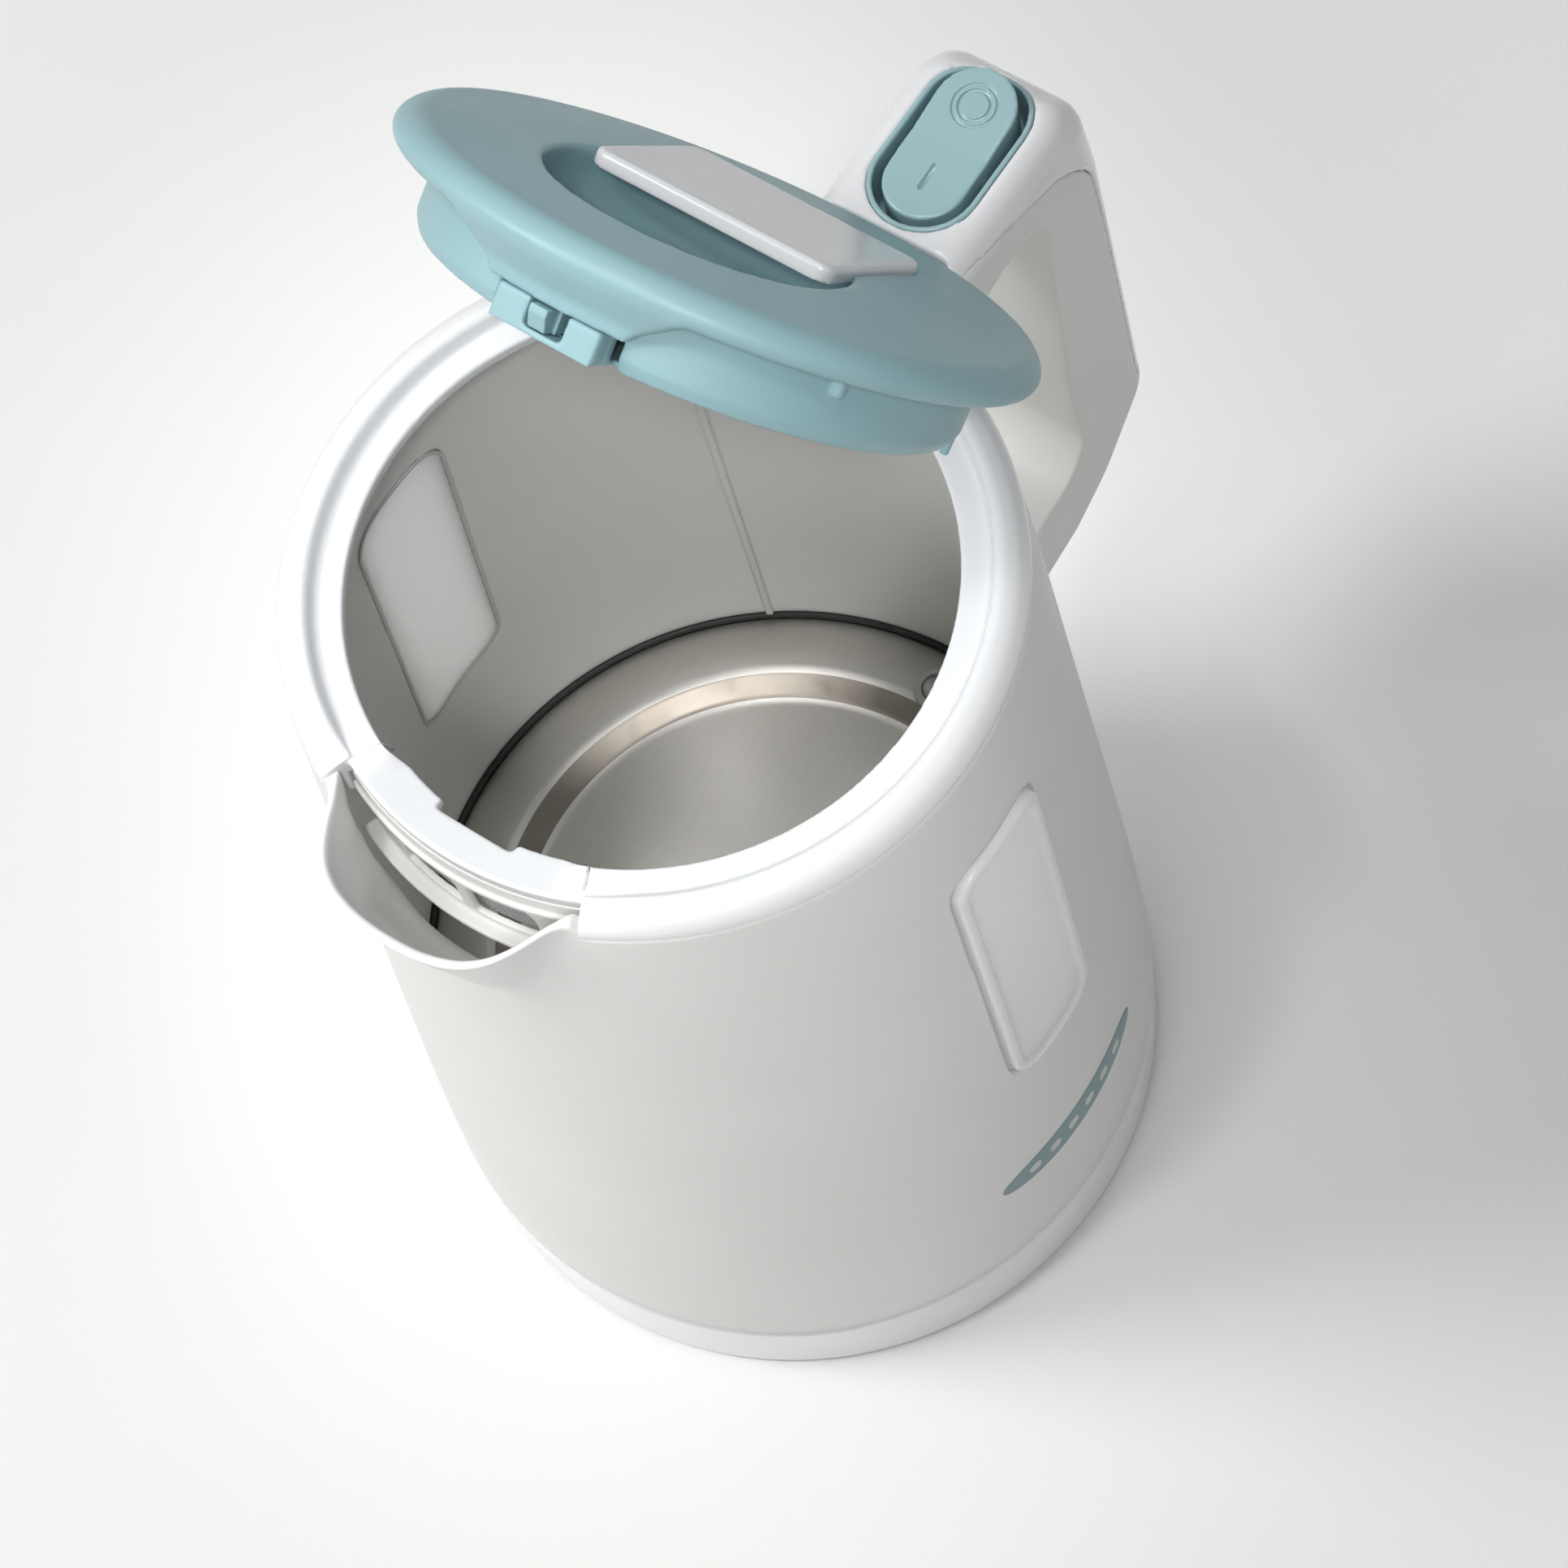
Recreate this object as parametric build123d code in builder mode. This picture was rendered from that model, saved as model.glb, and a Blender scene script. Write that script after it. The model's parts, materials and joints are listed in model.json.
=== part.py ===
"""Electric kettle on its power base, lid open. Millimetres, +Z up.

The origin is on the jug's axis at the table. The spout points along -X and the handle along +X,
so the kettle is symmetric about the XZ plane. The lid is drawn at its open rest position.
"""

from build123d import *
from math import cos, radians, sin
import os

os.makedirs("parts", exist_ok=True)

# ---------------------------------------------------------------- driving dimensions
BASE_R = 78.0  # outer radius of the power base
BASE_TOP_Z = 22.5
FOOT_H = 1.5  # how far the rubber feet lift the base off the table
WALL = 2.5
RUN_GAP = 0.3  # gap between pieces that move apart
PIN_GAP = 0.05  # radial clearance of a pin in a moving bore

JUG_BOTTOM_Z = 23.2
JUG_WALL = 3.2
SEAM_Z = 220.0  # joint line between the body and the rim collar
# radius and height of the jug's outside, bottom to top
JUG_OUTSIDE = [(78.2, JUG_BOTTOM_Z), (76.4, 58.0), (73.6, 100.0), (69.2, 165.0), (65.3, SEAM_Z)]

PLATE_Z = 56.5  # top of the heating plate's outer ring
PLATE_R = 71.9
PLATE_STEP_R = 60.0
PLATE_WELL_R = 53.6
PLATE_STEP = 3.0
PLATE_T = 1.2
FLANGE_TOP_Z = 52.5

LEDGE_Z = 222.6  # the ledge that the lid rests on
LEDGE_R = 58.5
MOUTH_R = 53.3
CREST_R = 61.2
CREST_Z = 225.6

SPOUT_TIP_R = 78.4
SPOUT_HALF = 24.2  # half width of the spout at the rim
SPOUT_ANGLE = 24.3  # half angle of the spout's opening in the collar
SPOUT_WALL = 1.8
SPOUT_LOW_Z = 184.0

WINDOW_W = 25.0
WINDOW_LOW_Z = 103.0
WINDOW_TOP_Z = 191.0
WINDOW_PROUD = 1.6

HANDLE_HALF = 16.0
HANDLE_TOP_Z = 228.0

HINGE_X = 71.5
HINGE_Z = 217.0
HINGE_PIN_R = 1.25
KNUCKLE_R = 3.2
KNUCKLE_HALF = 12.2
SLOT_HALF = 12.7  # half width of the slot that the lid's arm swings in
SLOT_BACK_X = 75.1
OPEN_ANGLE = 54.0

LID_R = 55.5
LID_MID_Z = 225.6  # closed height of the widest part of the lid's edge
LID_LOW = -2.7  # underside of the lid's disc, from LID_MID_Z
PLUG_R = 47.0
PLUG_LOW = -14.75
BOWL_X = -12.0  # centre of the finger recess
BOWL_R = 26.0

ROCKER_X = 95.0
ROCKER_Z = 221.0
ROCKER_HALF_L = 15.7
ROCKER_HALF_W = 7.8
WELL_GAP = 1.7
WELL_FLOOR_Z = 216.0
ROCKER_PIN_R = 1.2

# ---------------------------------------------------------------- frames of the lid
OPEN = radians(OPEN_ANGLE)


def opened(x, z):
    """The place, at rest, of a point of the closed lid at x, z in the XZ plane."""
    dx, dz = x - HINGE_X, z - HINGE_Z
    return (HINGE_X + dx * cos(OPEN) + dz * sin(OPEN), 0, HINGE_Z - dx * sin(OPEN) + dz * cos(OPEN))


# In LID, local x and y are those of the closed lid, and local z counts from LID_MID_Z.
LID = Plane(origin=opened(0, LID_MID_Z), x_dir=(cos(OPEN), 0, -sin(OPEN)), z_dir=(sin(OPEN), 0, cos(OPEN)))
LID_SIDE = Plane(origin=LID.origin, x_dir=LID.x_dir, z_dir=LID.y_dir * -1)
LID_AXIS = Axis(LID.origin, LID.z_dir)
BOWL_AXIS = Axis(LID.from_local_coords((BOWL_X, 0, 0)), LID.z_dir)
# LID_FRONT looks along the lid's -x: its local x is the lid's y, its local y is the lid's z.
LID_FRONT = Plane(origin=LID.origin, x_dir=LID.y_dir, z_dir=LID.x_dir)


def jug_radius(z):
    """Outer radius of the jug at height z, by straight lines between the profile's points."""
    for (r0, z0), (r1, z1) in zip(JUG_OUTSIDE, JUG_OUTSIDE[1:]):
        if z <= z1:
            return r0 + (r1 - r0) * (z - z0) / (z1 - z0)
    return JUG_OUTSIDE[-1][0]


def jug_curve(inset, top=SEAM_Z):
    """Points of the jug's wall line, moved inwards by inset, ending at height top."""
    return [(r - inset, z) for r, z in JUG_OUTSIDE[:-1]] + [(JUG_OUTSIDE[-1][0] - inset, top)]


def save(part, name):
    """Label one finished piece and write its STEP file."""
    part.label = name
    export_step(part, f"parts/{name}.step")


def annulus(outer, inner, z):
    """A flat ring about Z at height z."""
    with BuildSketch(Plane.XY.offset(z)) as flat_ring:
        Circle(outer)
        Circle(inner, mode=Mode.SUBTRACT)
    return flat_ring.sketch


# ================================================================ power base
SCREW_PLACES = PolarLocations(50.0, 3, start_angle=30)
BOSS_R = 4.0
PLATE_LOW_Z = FOOT_H
PLATE_TOP_Z = FOOT_H + 2.5

with BuildPart() as base_cover:
    with BuildSketch(Plane.XZ):
        with BuildLine():
            Polyline(
                (21.0, BASE_TOP_Z), (BASE_R, BASE_TOP_Z), (BASE_R, FOOT_H), (BASE_R - WALL, FOOT_H),
                (BASE_R - WALL, BASE_TOP_Z - WALL), (21.0, BASE_TOP_Z - WALL), close=True,
            )
        make_face()
    revolve(axis=Axis.Z)
    fillet(base_cover.edges().group_by(Axis.Z)[-1].sort_by(SortBy.LENGTH)[-1], 2.4)
    with BuildSketch(Plane.XY.offset(PLATE_TOP_Z)):
        with SCREW_PLACES:
            Circle(BOSS_R)
    extrude(amount=BASE_TOP_Z - WALL - PLATE_TOP_Z)
    with BuildSketch(Plane.XY.offset(PLATE_TOP_Z)):
        with SCREW_PLACES:
            Circle(1.5)
    extrude(amount=12.0, mode=Mode.SUBTRACT)
    with BuildSketch(Plane.XZ.offset(-BASE_R - 5)):
        with Locations((0, 11.0)):
            Circle(4.5)
    extrude(amount=12.0, mode=Mode.SUBTRACT)
save(base_cover.part, "base_cover")

with BuildPart() as base_plate:
    with BuildSketch(Plane.XY.offset(PLATE_LOW_Z)):
        Circle(BASE_R - WALL)
    extrude(amount=PLATE_TOP_Z - PLATE_LOW_Z)
    with BuildSketch(Plane.XY.offset(PLATE_LOW_Z)):
        with PolarLocations(62.0, 4, start_angle=45):
            Circle(7.0)
    extrude(amount=1.0, mode=Mode.SUBTRACT)
    with BuildSketch(Plane.XY.offset(PLATE_LOW_Z)):
        with SCREW_PLACES:
            Circle(3.2)
    extrude(amount=1.4, mode=Mode.SUBTRACT)
    with BuildSketch(Plane.XY.offset(PLATE_LOW_Z)):
        with SCREW_PLACES:
            Circle(1.5)
    extrude(amount=WALL, mode=Mode.SUBTRACT)
save(base_plate.part, "base_plate")

with BuildPart() as base_feet:
    with BuildSketch():
        with PolarLocations(62.0, 4, start_angle=45):
            Circle(7.0)
    extrude(amount=FOOT_H + 1.0)
    chamfer(base_feet.edges().group_by(Axis.Z)[0], 0.5)
save(base_feet.part, "base_feet")

with BuildPart() as base_screws:
    with BuildSketch(Plane.XY.offset(PLATE_LOW_Z)):
        with SCREW_PLACES:
            Circle(3.2)
    extrude(amount=1.4)
    with BuildSketch(Plane.XY.offset(PLATE_LOW_Z)):
        with SCREW_PLACES:
            Circle(1.5)
    extrude(amount=12.0)
    with BuildSketch(Plane.XY.offset(PLATE_LOW_Z)):
        with SCREW_PLACES:
            Rectangle(3.6, 0.7)
            Rectangle(0.7, 3.6)
    extrude(amount=0.8, mode=Mode.SUBTRACT)
save(base_screws.part, "base_screws")

POST_R = 13.5
POST_TOP_Z = 34.0
CONNECTOR_LOW_Z = 17.5
PIN_TOP_Z = 41.0
PIN_R = 1.9

with BuildPart() as base_connector:
    extrude(annulus(24.0, PIN_R, CONNECTOR_LOW_Z), amount=BASE_TOP_Z - WALL - CONNECTOR_LOW_Z)
    extrude(annulus(21.0, PIN_R, BASE_TOP_Z - WALL), amount=WALL)
    extrude(annulus(POST_R, PIN_R, BASE_TOP_Z), amount=POST_TOP_Z - BASE_TOP_Z)
    fillet(base_connector.edges().group_by(Axis.Z)[-1].sort_by(SortBy.LENGTH)[-1], 1.5)
    with BuildSketch(Plane.XY.offset(POST_TOP_Z)):
        Circle(9.6)
        Circle(6.4, mode=Mode.SUBTRACT)
    extrude(amount=-9.0, mode=Mode.SUBTRACT)
save(base_connector.part, "base_connector")

with BuildPart() as base_centre_pin:
    with BuildSketch(Plane.XY.offset(CONNECTOR_LOW_Z)):
        Circle(PIN_R)
    extrude(amount=PIN_TOP_Z - CONNECTOR_LOW_Z)
    fillet(base_centre_pin.edges().group_by(Axis.Z)[-1], 1.5)
save(base_centre_pin.part, "base_centre_pin")

with BuildPart() as base_contact_ring:
    extrude(annulus(8.6, 7.8, POST_TOP_Z - 9.0), amount=7.5)
save(base_contact_ring.part, "base_contact_ring")

with BuildPart() as cord_gland:
    with BuildSketch(Plane.XZ.offset(-BASE_R - 1.4)):
        with Locations((0, 11.0)):
            Circle(4.5)
    extrude(amount=8.0)
    with BuildSketch(Plane.XZ.offset(-72.0)):
        with Locations((0, 11.0)):
            Circle(6.0)
    extrude(amount=2.0)
    with BuildSketch(Plane.XZ.offset(-BASE_R - 5)):
        with Locations((0, 11.0)):
            Circle(3.2)
    extrude(amount=15.0, mode=Mode.SUBTRACT)
save(cord_gland.part, "cord_gland")

# ================================================================ jug body
COVER_SCREWS = PolarLocations(70.0, 3, start_angle=60)
COVER_TOP_Z = 26.0
# The spout's outline at three heights: tip distance from the axis and half width.
SPOUT_LEVELS = [(LEDGE_Z + 0.9, SPOUT_TIP_R, SPOUT_HALF), (206.0, 74.6, 20.5), (SPOUT_LOW_Z, 66.0, 11.0)]


def spout_levels(inset, lift, drop):
    """The spout's outlines, sunk by inset, with the top raised by lift and the foot by drop."""
    outlines = []
    for (z, tip, half), shift in zip(SPOUT_LEVELS, (lift, 0, drop)):
        h, t = half - inset, tip - inset
        with BuildSketch(Plane.XY.offset(z + shift)) as outline:
            with BuildLine():
                Polyline((12.5 - t, h - 2.6), (-46.0, h + 0.6), (-46.0, -h - 0.6), (12.5 - t, 2.6 - h))
                Spline((12.5 - t, 2.6 - h), (2.3 - t, -0.56 * h), (-t, 0), (2.3 - t, 0.56 * h), (12.5 - t, h - 2.6))
            make_face()
        outlines.append(outline.sketch)
    return outlines


def spout_loft(inset, lift, drop):
    """The solid that fills the spout's outlines."""
    with BuildPart() as filled:
        loft(spout_levels(inset, lift, drop))
    return filled.part


def spout_skin():
    """The part of the filled spout that stands outside the jug's wall."""
    with BuildPart() as skin:
        add(spout_loft(0, 0, 0))
        Cylinder(64.0, 600, mode=Mode.SUBTRACT)
    return skin.part


def jug_layer(outside, inside):
    """The jug-shaped layer between two insets from the outer profile."""
    with BuildPart() as layer:
        with BuildSketch(Plane.XZ):
            with BuildLine():
                outer = Spline(*jug_curve(outside))
                inner = Spline(*jug_curve(inside))
                Line(outer @ 0, inner @ 0)
                Line(outer @ 1, inner @ 1)
            make_face()
        revolve(axis=Axis.Z)
    return layer.part


WINDOW_MID_Z = (WINDOW_LOW_Z + WINDOW_TOP_Z) / 2
WINDOW_H = WINDOW_TOP_Z - WINDOW_LOW_Z
RIB_ANGLE = 34.5
RIB_TOP_Z = 211.0

with BuildPart() as body_shell:
    add(jug_layer(0, JUG_WALL))
    with BuildSketch(Plane.XZ):
        with BuildLine():
            low_r = jug_radius(49.5) - 1.0
            Polyline((68.4, 49.5), (low_r, 49.5), (low_r, FLANGE_TOP_Z), (68.4, FLANGE_TOP_Z), close=True)
        make_face()
    revolve(axis=Axis.Z)
    # bosses for the bottom cover's screws
    with BuildSketch(Plane.XY.offset(COVER_TOP_Z)):
        with COVER_SCREWS:
            Circle(5.2)
    extrude(amount=20.0)
    with BuildSketch(Plane.XY.offset(COVER_TOP_Z)):
        with COVER_SCREWS:
            Circle(1.6)
    extrude(amount=10.0, mode=Mode.SUBTRACT)
    add(spout_skin())
    add(spout_loft(SPOUT_WALL, 1.0, 6.0), mode=Mode.SUBTRACT)
    # the inner wall's two long ribs
    for angle in (-RIB_ANGLE, RIB_ANGLE):
        with BuildSketch(Plane.XZ.rotated((0, 0, angle))):
            with BuildLine():
                foot_r = jug_radius(58.0) - JUG_WALL
                head_r = jug_radius(RIB_TOP_Z) - JUG_WALL
                Polyline(
                    (foot_r - 1.2, 58.0), (foot_r + 1.2, 58.0), (head_r + 1.2, RIB_TOP_Z), (head_r - 1.0, RIB_TOP_Z),
                    close=True,
                )
            make_face()
        extrude(amount=0.8, both=True)
    with BuildSketch(Plane.XZ):
        with Locations((0, WINDOW_MID_Z)):
            RectangleRounded(WINDOW_W + 1.6, WINDOW_H + 1.6, 6.8)
    extrude(amount=100, both=True, mode=Mode.SUBTRACT)
    # the lid's arm passes through the top of the wall
    with Locations((62.0, 0, 220.0)):
        Box(12.0, 2 * SLOT_HALF, 13.4, mode=Mode.SUBTRACT)
save(body_shell.part, "body_shell")

# ================================================================ rim collar
COLLAR_SKIRT_R = 61.9
SEAT_LOW_Z = 219.0  # inner edge of the sloping seat at the spout
SEAT_R = 51.5
SPOUT_BACK_R = 59.8  # the collar ends here inside the spout
SWEEP = 2 * SPOUT_ANGLE
SECTOR = Plane.XZ.rotated((0, 0, 180 - SPOUT_ANGLE))

with BuildPart() as rim_collar:
    with BuildSketch(Plane.XZ):
        with BuildLine():
            Polyline((62.2, SEAM_Z), (COLLAR_SKIRT_R, SEAM_Z), (COLLAR_SKIRT_R, 212.0), (60.4, 212.0), (60.4, 219.8))
            Polyline((60.4, 219.8), (MOUTH_R, 219.8), (MOUTH_R, LEDGE_Z), (LEDGE_R, LEDGE_Z), (59.0, CREST_Z - 0.7))
            ThreePointArc((59.0, CREST_Z - 0.7), (60.2, CREST_Z), (CREST_R + 0.4, CREST_Z - 0.3))
            ThreePointArc((CREST_R + 0.4, CREST_Z - 0.3), (64.3, 223.4), (65.3, SEAM_Z))
            Line((65.3, SEAM_Z), (62.2, SEAM_Z))
        make_face()
    revolve(axis=Axis.Z)
    # open the front for the spout and lay the sloping seat behind it
    with BuildSketch(SECTOR):
        with BuildLine():
            Polyline((50.0, 210.0), (70.0, 210.0), (70.0, 230.0), (50.0, 230.0), close=True)
        make_face()
    revolve(axis=Axis.Z, revolution_arc=SWEEP, mode=Mode.SUBTRACT)
    with BuildSketch(SECTOR):
        with BuildLine():
            Polyline(
                (SEAT_R, SEAT_LOW_Z), (SPOUT_BACK_R, LEDGE_Z), (SPOUT_BACK_R, 219.0), (58.0, 216.8), (SEAT_R, 216.8),
                close=True,
            )
        make_face()
    revolve(axis=Axis.Z, revolution_arc=SWEEP)
    # notch for the lid's catch, and the slot for the lid's arm
    with Locations((-SEAT_R, 0, 220.0)):
        Box(2.6, 16.0, 12.0, mode=Mode.SUBTRACT)
    with Locations((61.0, 0, 220.0)):
        Box(18.0, 2 * SLOT_HALF, 20.0, mode=Mode.SUBTRACT)
save(rim_collar.part, "rim_collar")

# ================================================================ water windows
BEZEL = 2.2


def window_prism(side, grow, corner):
    """A rounded block through the jug's side wall, larger than the window by grow all round."""
    with BuildPart() as prism:
        with BuildSketch(Plane.XZ.offset(-side * 50.0)):
            with Locations((0, WINDOW_MID_Z)):
                RectangleRounded(WINDOW_W + 2 * grow, WINDOW_H + 2 * grow, corner)
        extrude(amount=-side * 40.0)
    return prism.part


def window_slice(side, grow, corner, outside, inside):
    """The part of a window's block that lies between two insets from the jug's profile."""
    with BuildPart() as piece:
        add(window_prism(side, grow, corner))
        add(jug_layer(outside, inside), mode=Mode.INTERSECT)
    return piece.part


for side, name in ((1, "window_left"), (-1, "window_right")):
    with BuildPart() as window:
        add(window_slice(side, 0, 6.0, -WINDOW_PROUD, JUG_WALL + 0.4))
        add(window_slice(side, -BEZEL, 4.4, -WINDOW_PROUD - 2, -WINDOW_PROUD + 1.0), mode=Mode.SUBTRACT)
    save(window.part, name)

with BuildPart() as window_gaskets:
    for side in (1, -1):
        add(window_slice(side, 0.8, 6.8, 0.5, JUG_WALL + 0.2))
        add(window_prism(side, 0, 6.0), mode=Mode.SUBTRACT)
save(window_gaskets.part, "window_gaskets")

# ================================================================ spout filter
FILTER_R = 59.4
FILTER_T = 1.8
FILTER_LOW_Z = 198.0
FILTER_TOP_Z = 216.8
FILTER_ANGLE = 19.0
FILTER_START = Plane.XZ.rotated((0, 0, 180 - FILTER_ANGLE))
ARCH_W = 13.0
ARCH_H = 13.0


def front_band(outer, inner, low, high, half_angle):
    """A curved band about Z that faces the spout."""
    with BuildPart() as band:
        with BuildSketch(Plane.XZ.rotated((0, 0, 180 - half_angle))):
            with Locations(((outer + inner) / 2, (low + high) / 2)):
                Rectangle(outer - inner, high - low)
        revolve(axis=Axis.Z, revolution_arc=2 * half_angle)
    return band.part


def arches():
    """Two blocks with arched tops, one each side of the spout's middle, along X."""
    with BuildPart() as pair:
        with BuildSketch(Plane.YZ.offset(-70.0)) as openings:
            with Locations((-ARCH_W / 2 - 1.4, 200.5 + ARCH_H / 2), (ARCH_W / 2 + 1.4, 200.5 + ARCH_H / 2)):
                Rectangle(ARCH_W, ARCH_H)
            fillet(openings.vertices().group_by(Axis.Z)[-1], 5.0)
        extrude(amount=20.0)
    return pair.part


with BuildPart() as filter_frame:
    add(front_band(FILTER_R, FILTER_R - FILTER_T, FILTER_LOW_Z, FILTER_TOP_Z, FILTER_ANGLE))
    add(front_band(63.2, FILTER_R - FILTER_T, FILTER_LOW_Z, FILTER_LOW_Z + 1.6, FILTER_ANGLE))
    add(front_band(FILTER_R + 0.9, FILTER_R - FILTER_T, FILTER_TOP_Z - 2.4, FILTER_TOP_Z, FILTER_ANGLE))
    add(arches(), mode=Mode.SUBTRACT)
save(filter_frame.part, "filter_frame")

with BuildPart() as filter_mesh:
    add(front_band(FILTER_R - 0.7, FILTER_R - 1.1, FILTER_LOW_Z + 2, FILTER_TOP_Z - 3, FILTER_ANGLE))
    add(arches(), mode=Mode.INTERSECT)
save(filter_mesh.part, "filter_mesh")

# ================================================================ heating plate and what is under it
PROBE_X = 63.2
PROBE_R = 3.3
GROMMET_R = 6.0
SKIRT_R = 68.3

with BuildPart() as heating_plate:
    with BuildSketch(Plane.XZ):
        with BuildLine():
            Polyline(
                (0, PLATE_Z - PLATE_STEP), (PLATE_WELL_R, PLATE_Z - PLATE_STEP), (PLATE_STEP_R, PLATE_Z),
                (PLATE_R, PLATE_Z), (PLATE_R, PLATE_Z - PLATE_T), (SKIRT_R, PLATE_Z - PLATE_T), (SKIRT_R, 47.0),
                (SKIRT_R - PLATE_T, 47.0), (SKIRT_R - PLATE_T, PLATE_Z - PLATE_T), (PLATE_STEP_R, PLATE_Z - PLATE_T),
                (PLATE_WELL_R, PLATE_Z - PLATE_STEP - PLATE_T), (0, PLATE_Z - PLATE_STEP - PLATE_T), close=True,
            )
        make_face()
    revolve(axis=Axis.Z)
    with Locations((PROBE_X, 0, PLATE_Z)):
        Cylinder(PROBE_R, 10.0, mode=Mode.SUBTRACT)
save(heating_plate.part, "heating_plate")

with BuildPart() as plate_seal:
    with BuildSketch(Plane.XZ):
        with BuildLine():
            Polyline(
                (68.6, FLANGE_TOP_Z), (72.9, FLANGE_TOP_Z), (72.9, PLATE_Z + 0.8), (PLATE_R, PLATE_Z + 0.8),
                (PLATE_R, PLATE_Z - PLATE_T), (68.6, PLATE_Z - PLATE_T), close=True,
            )
        make_face()
    revolve(axis=Axis.Z)
save(plate_seal.part, "plate_seal")

with BuildPart() as retaining_ring:
    extrude(annulus(71.4, SKIRT_R, 47.6), amount=1.9)
save(retaining_ring.part, "retaining_ring")

ELEMENT_R = 45.0
ELEMENT_WIRE_R = 4.0
ELEMENT_Z = PLATE_Z - PLATE_STEP - PLATE_T - ELEMENT_WIRE_R - 0.05
with BuildPart() as heating_element:
    with BuildSketch(Plane.XZ.rotated((0, 0, 20))):
        with Locations((ELEMENT_R, ELEMENT_Z)):
            Circle(ELEMENT_WIRE_R)
    revolve(axis=Axis.Z, revolution_arc=320)
save(heating_element.part, "heating_element")

with BuildPart() as dry_boil_probe:
    with Locations((PROBE_X, 0, 49.5)):
        Cylinder(PROBE_R, 10.5, align=(Align.CENTER, Align.CENTER, Align.MIN))
    fillet(dry_boil_probe.edges().group_by(Axis.Z)[-1], 2.4)
save(dry_boil_probe.part, "dry_boil_probe")

with BuildPart() as probe_grommet:
    with Locations((PROBE_X, 0, PLATE_Z)):
        Cylinder(GROMMET_R - 1.0, 2.0, align=(Align.CENTER, Align.CENTER, Align.MIN))
        Cylinder(PROBE_R, 6.0, mode=Mode.SUBTRACT)
    fillet(probe_grommet.edges().group_by(Axis.Z)[-1].sort_by(SortBy.LENGTH)[-1], 0.8)
save(probe_grommet.part, "probe_grommet")

SOCKET_R = POST_R + 0.6
with BuildPart() as kettle_connector:
    extrude(annulus(19.6, SOCKET_R, BASE_TOP_Z + 1.0), amount=COVER_TOP_Z - BASE_TOP_Z - 1.0)
    extrude(annulus(25.0, SOCKET_R, COVER_TOP_Z), amount=POST_TOP_Z + 1.0 - COVER_TOP_Z)
    extrude(annulus(25.0, PIN_R + 0.5, POST_TOP_Z + 1.0), amount=8.0)
    with BuildSketch(Plane.XY.offset(POST_TOP_Z + 9.0)):
        Circle(25.0)
    extrude(amount=2.5)
save(kettle_connector.part, "kettle_connector")

with BuildPart() as bottom_cover:
    extrude(annulus(74.6, 20.0, COVER_TOP_Z - 2.0), amount=2.0)
    extrude(annulus(74.6, 72.8, BASE_TOP_Z + RUN_GAP), amount=COVER_TOP_Z - BASE_TOP_Z - RUN_GAP)
    extrude(annulus(22.5, 20.0, COVER_TOP_Z - 3.0), amount=1.5)
    with BuildSketch(Plane.XY.offset(COVER_TOP_Z - 4.0)):
        with COVER_SCREWS:
            Circle(1.6)
    extrude(amount=5.0, mode=Mode.SUBTRACT)
save(bottom_cover.part, "bottom_cover")

with BuildPart() as bottom_screws:
    with BuildSketch(Plane.XY.offset(COVER_TOP_Z - 3.1)):
        with COVER_SCREWS:
            Circle(2.6)
    extrude(amount=1.1)
    with BuildSketch(Plane.XY.offset(COVER_TOP_Z - 3.1)):
        with COVER_SCREWS:
            Circle(1.6)
    extrude(amount=12.0)
save(bottom_screws.part, "bottom_screws")

# ================================================================ handle
# Outlines in the XZ plane. The seam parts the outer shell from the grip.
OUTER_LINE = [
    (58, HANDLE_TOP_Z), (115.5, HANDLE_TOP_Z), (119.6, 203), (128.2, 110), (112, 93), (99, 86.2), (86, 84), (58, 82),
]
OPENING_LINE = [
    (50, 201), (68, 206.5), (84, 212), (100, 212.3), (100.4, 170), (100.2, 146), (104, 113.5), (88, 111.5), (50, 104),
]
SHELL_LOW_Z = 116.0  # lower end of the outer shell
SHELL_REGION = [
    (50, 225.2), (77, 224.2), (91, 221.3), (103.7, 216.8), (108.6, 212.9), (112.2, 208.4), (114.5, 203.6),
    (116.9, 184.8), (122.6, 122.6), (123.4, SHELL_LOW_Z), (140, SHELL_LOW_Z), (140, 240), (50, 240),
]
CAVITY = [
    (103.6, 205), (103.6, 150), (107.5, 126), (107.5, 112.8), (121, 112.8), (121, 117), (130, 117), (130, 205),
]
CAVITY_HALF = 12.0
HANDLE_SCREW_X = 117.5


def side_outline(points, radii):
    """A face in the XZ plane with its corners rounded by the radii that are given for them."""
    with BuildSketch(Plane.XZ) as outline:
        with BuildLine():
            Polyline(*points, close=True)
        make_face()
        for place, radius in radii:
            corner = outline.vertices().sort_by_distance((place[0], place[1], 0))[0]
            fillet(corner, radius)
    return outline.sketch


def jug_solid():
    """Everything inside the jug's and the collar's outside, and the space over the lid."""
    with BuildPart() as filled:
        with BuildSketch(Plane.XZ):
            with BuildLine():
                wall = Spline(*jug_curve(0))
                ThreePointArc((65.3, SEAM_Z), (64.3, 223.4), (CREST_R + 0.4, CREST_Z - 0.3))
                ThreePointArc((CREST_R + 0.4, CREST_Z - 0.3), (60.2, CREST_Z), (59.0, CREST_Z - 0.7))
                Polyline((59.0, CREST_Z - 0.7), (59.0, 240.0), (0, 240.0), (0, JUG_BOTTOM_Z))
                Line((0, JUG_BOTTOM_Z), wall @ 0)
            make_face()
        revolve(axis=Axis.Z)
    return filled.part


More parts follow.
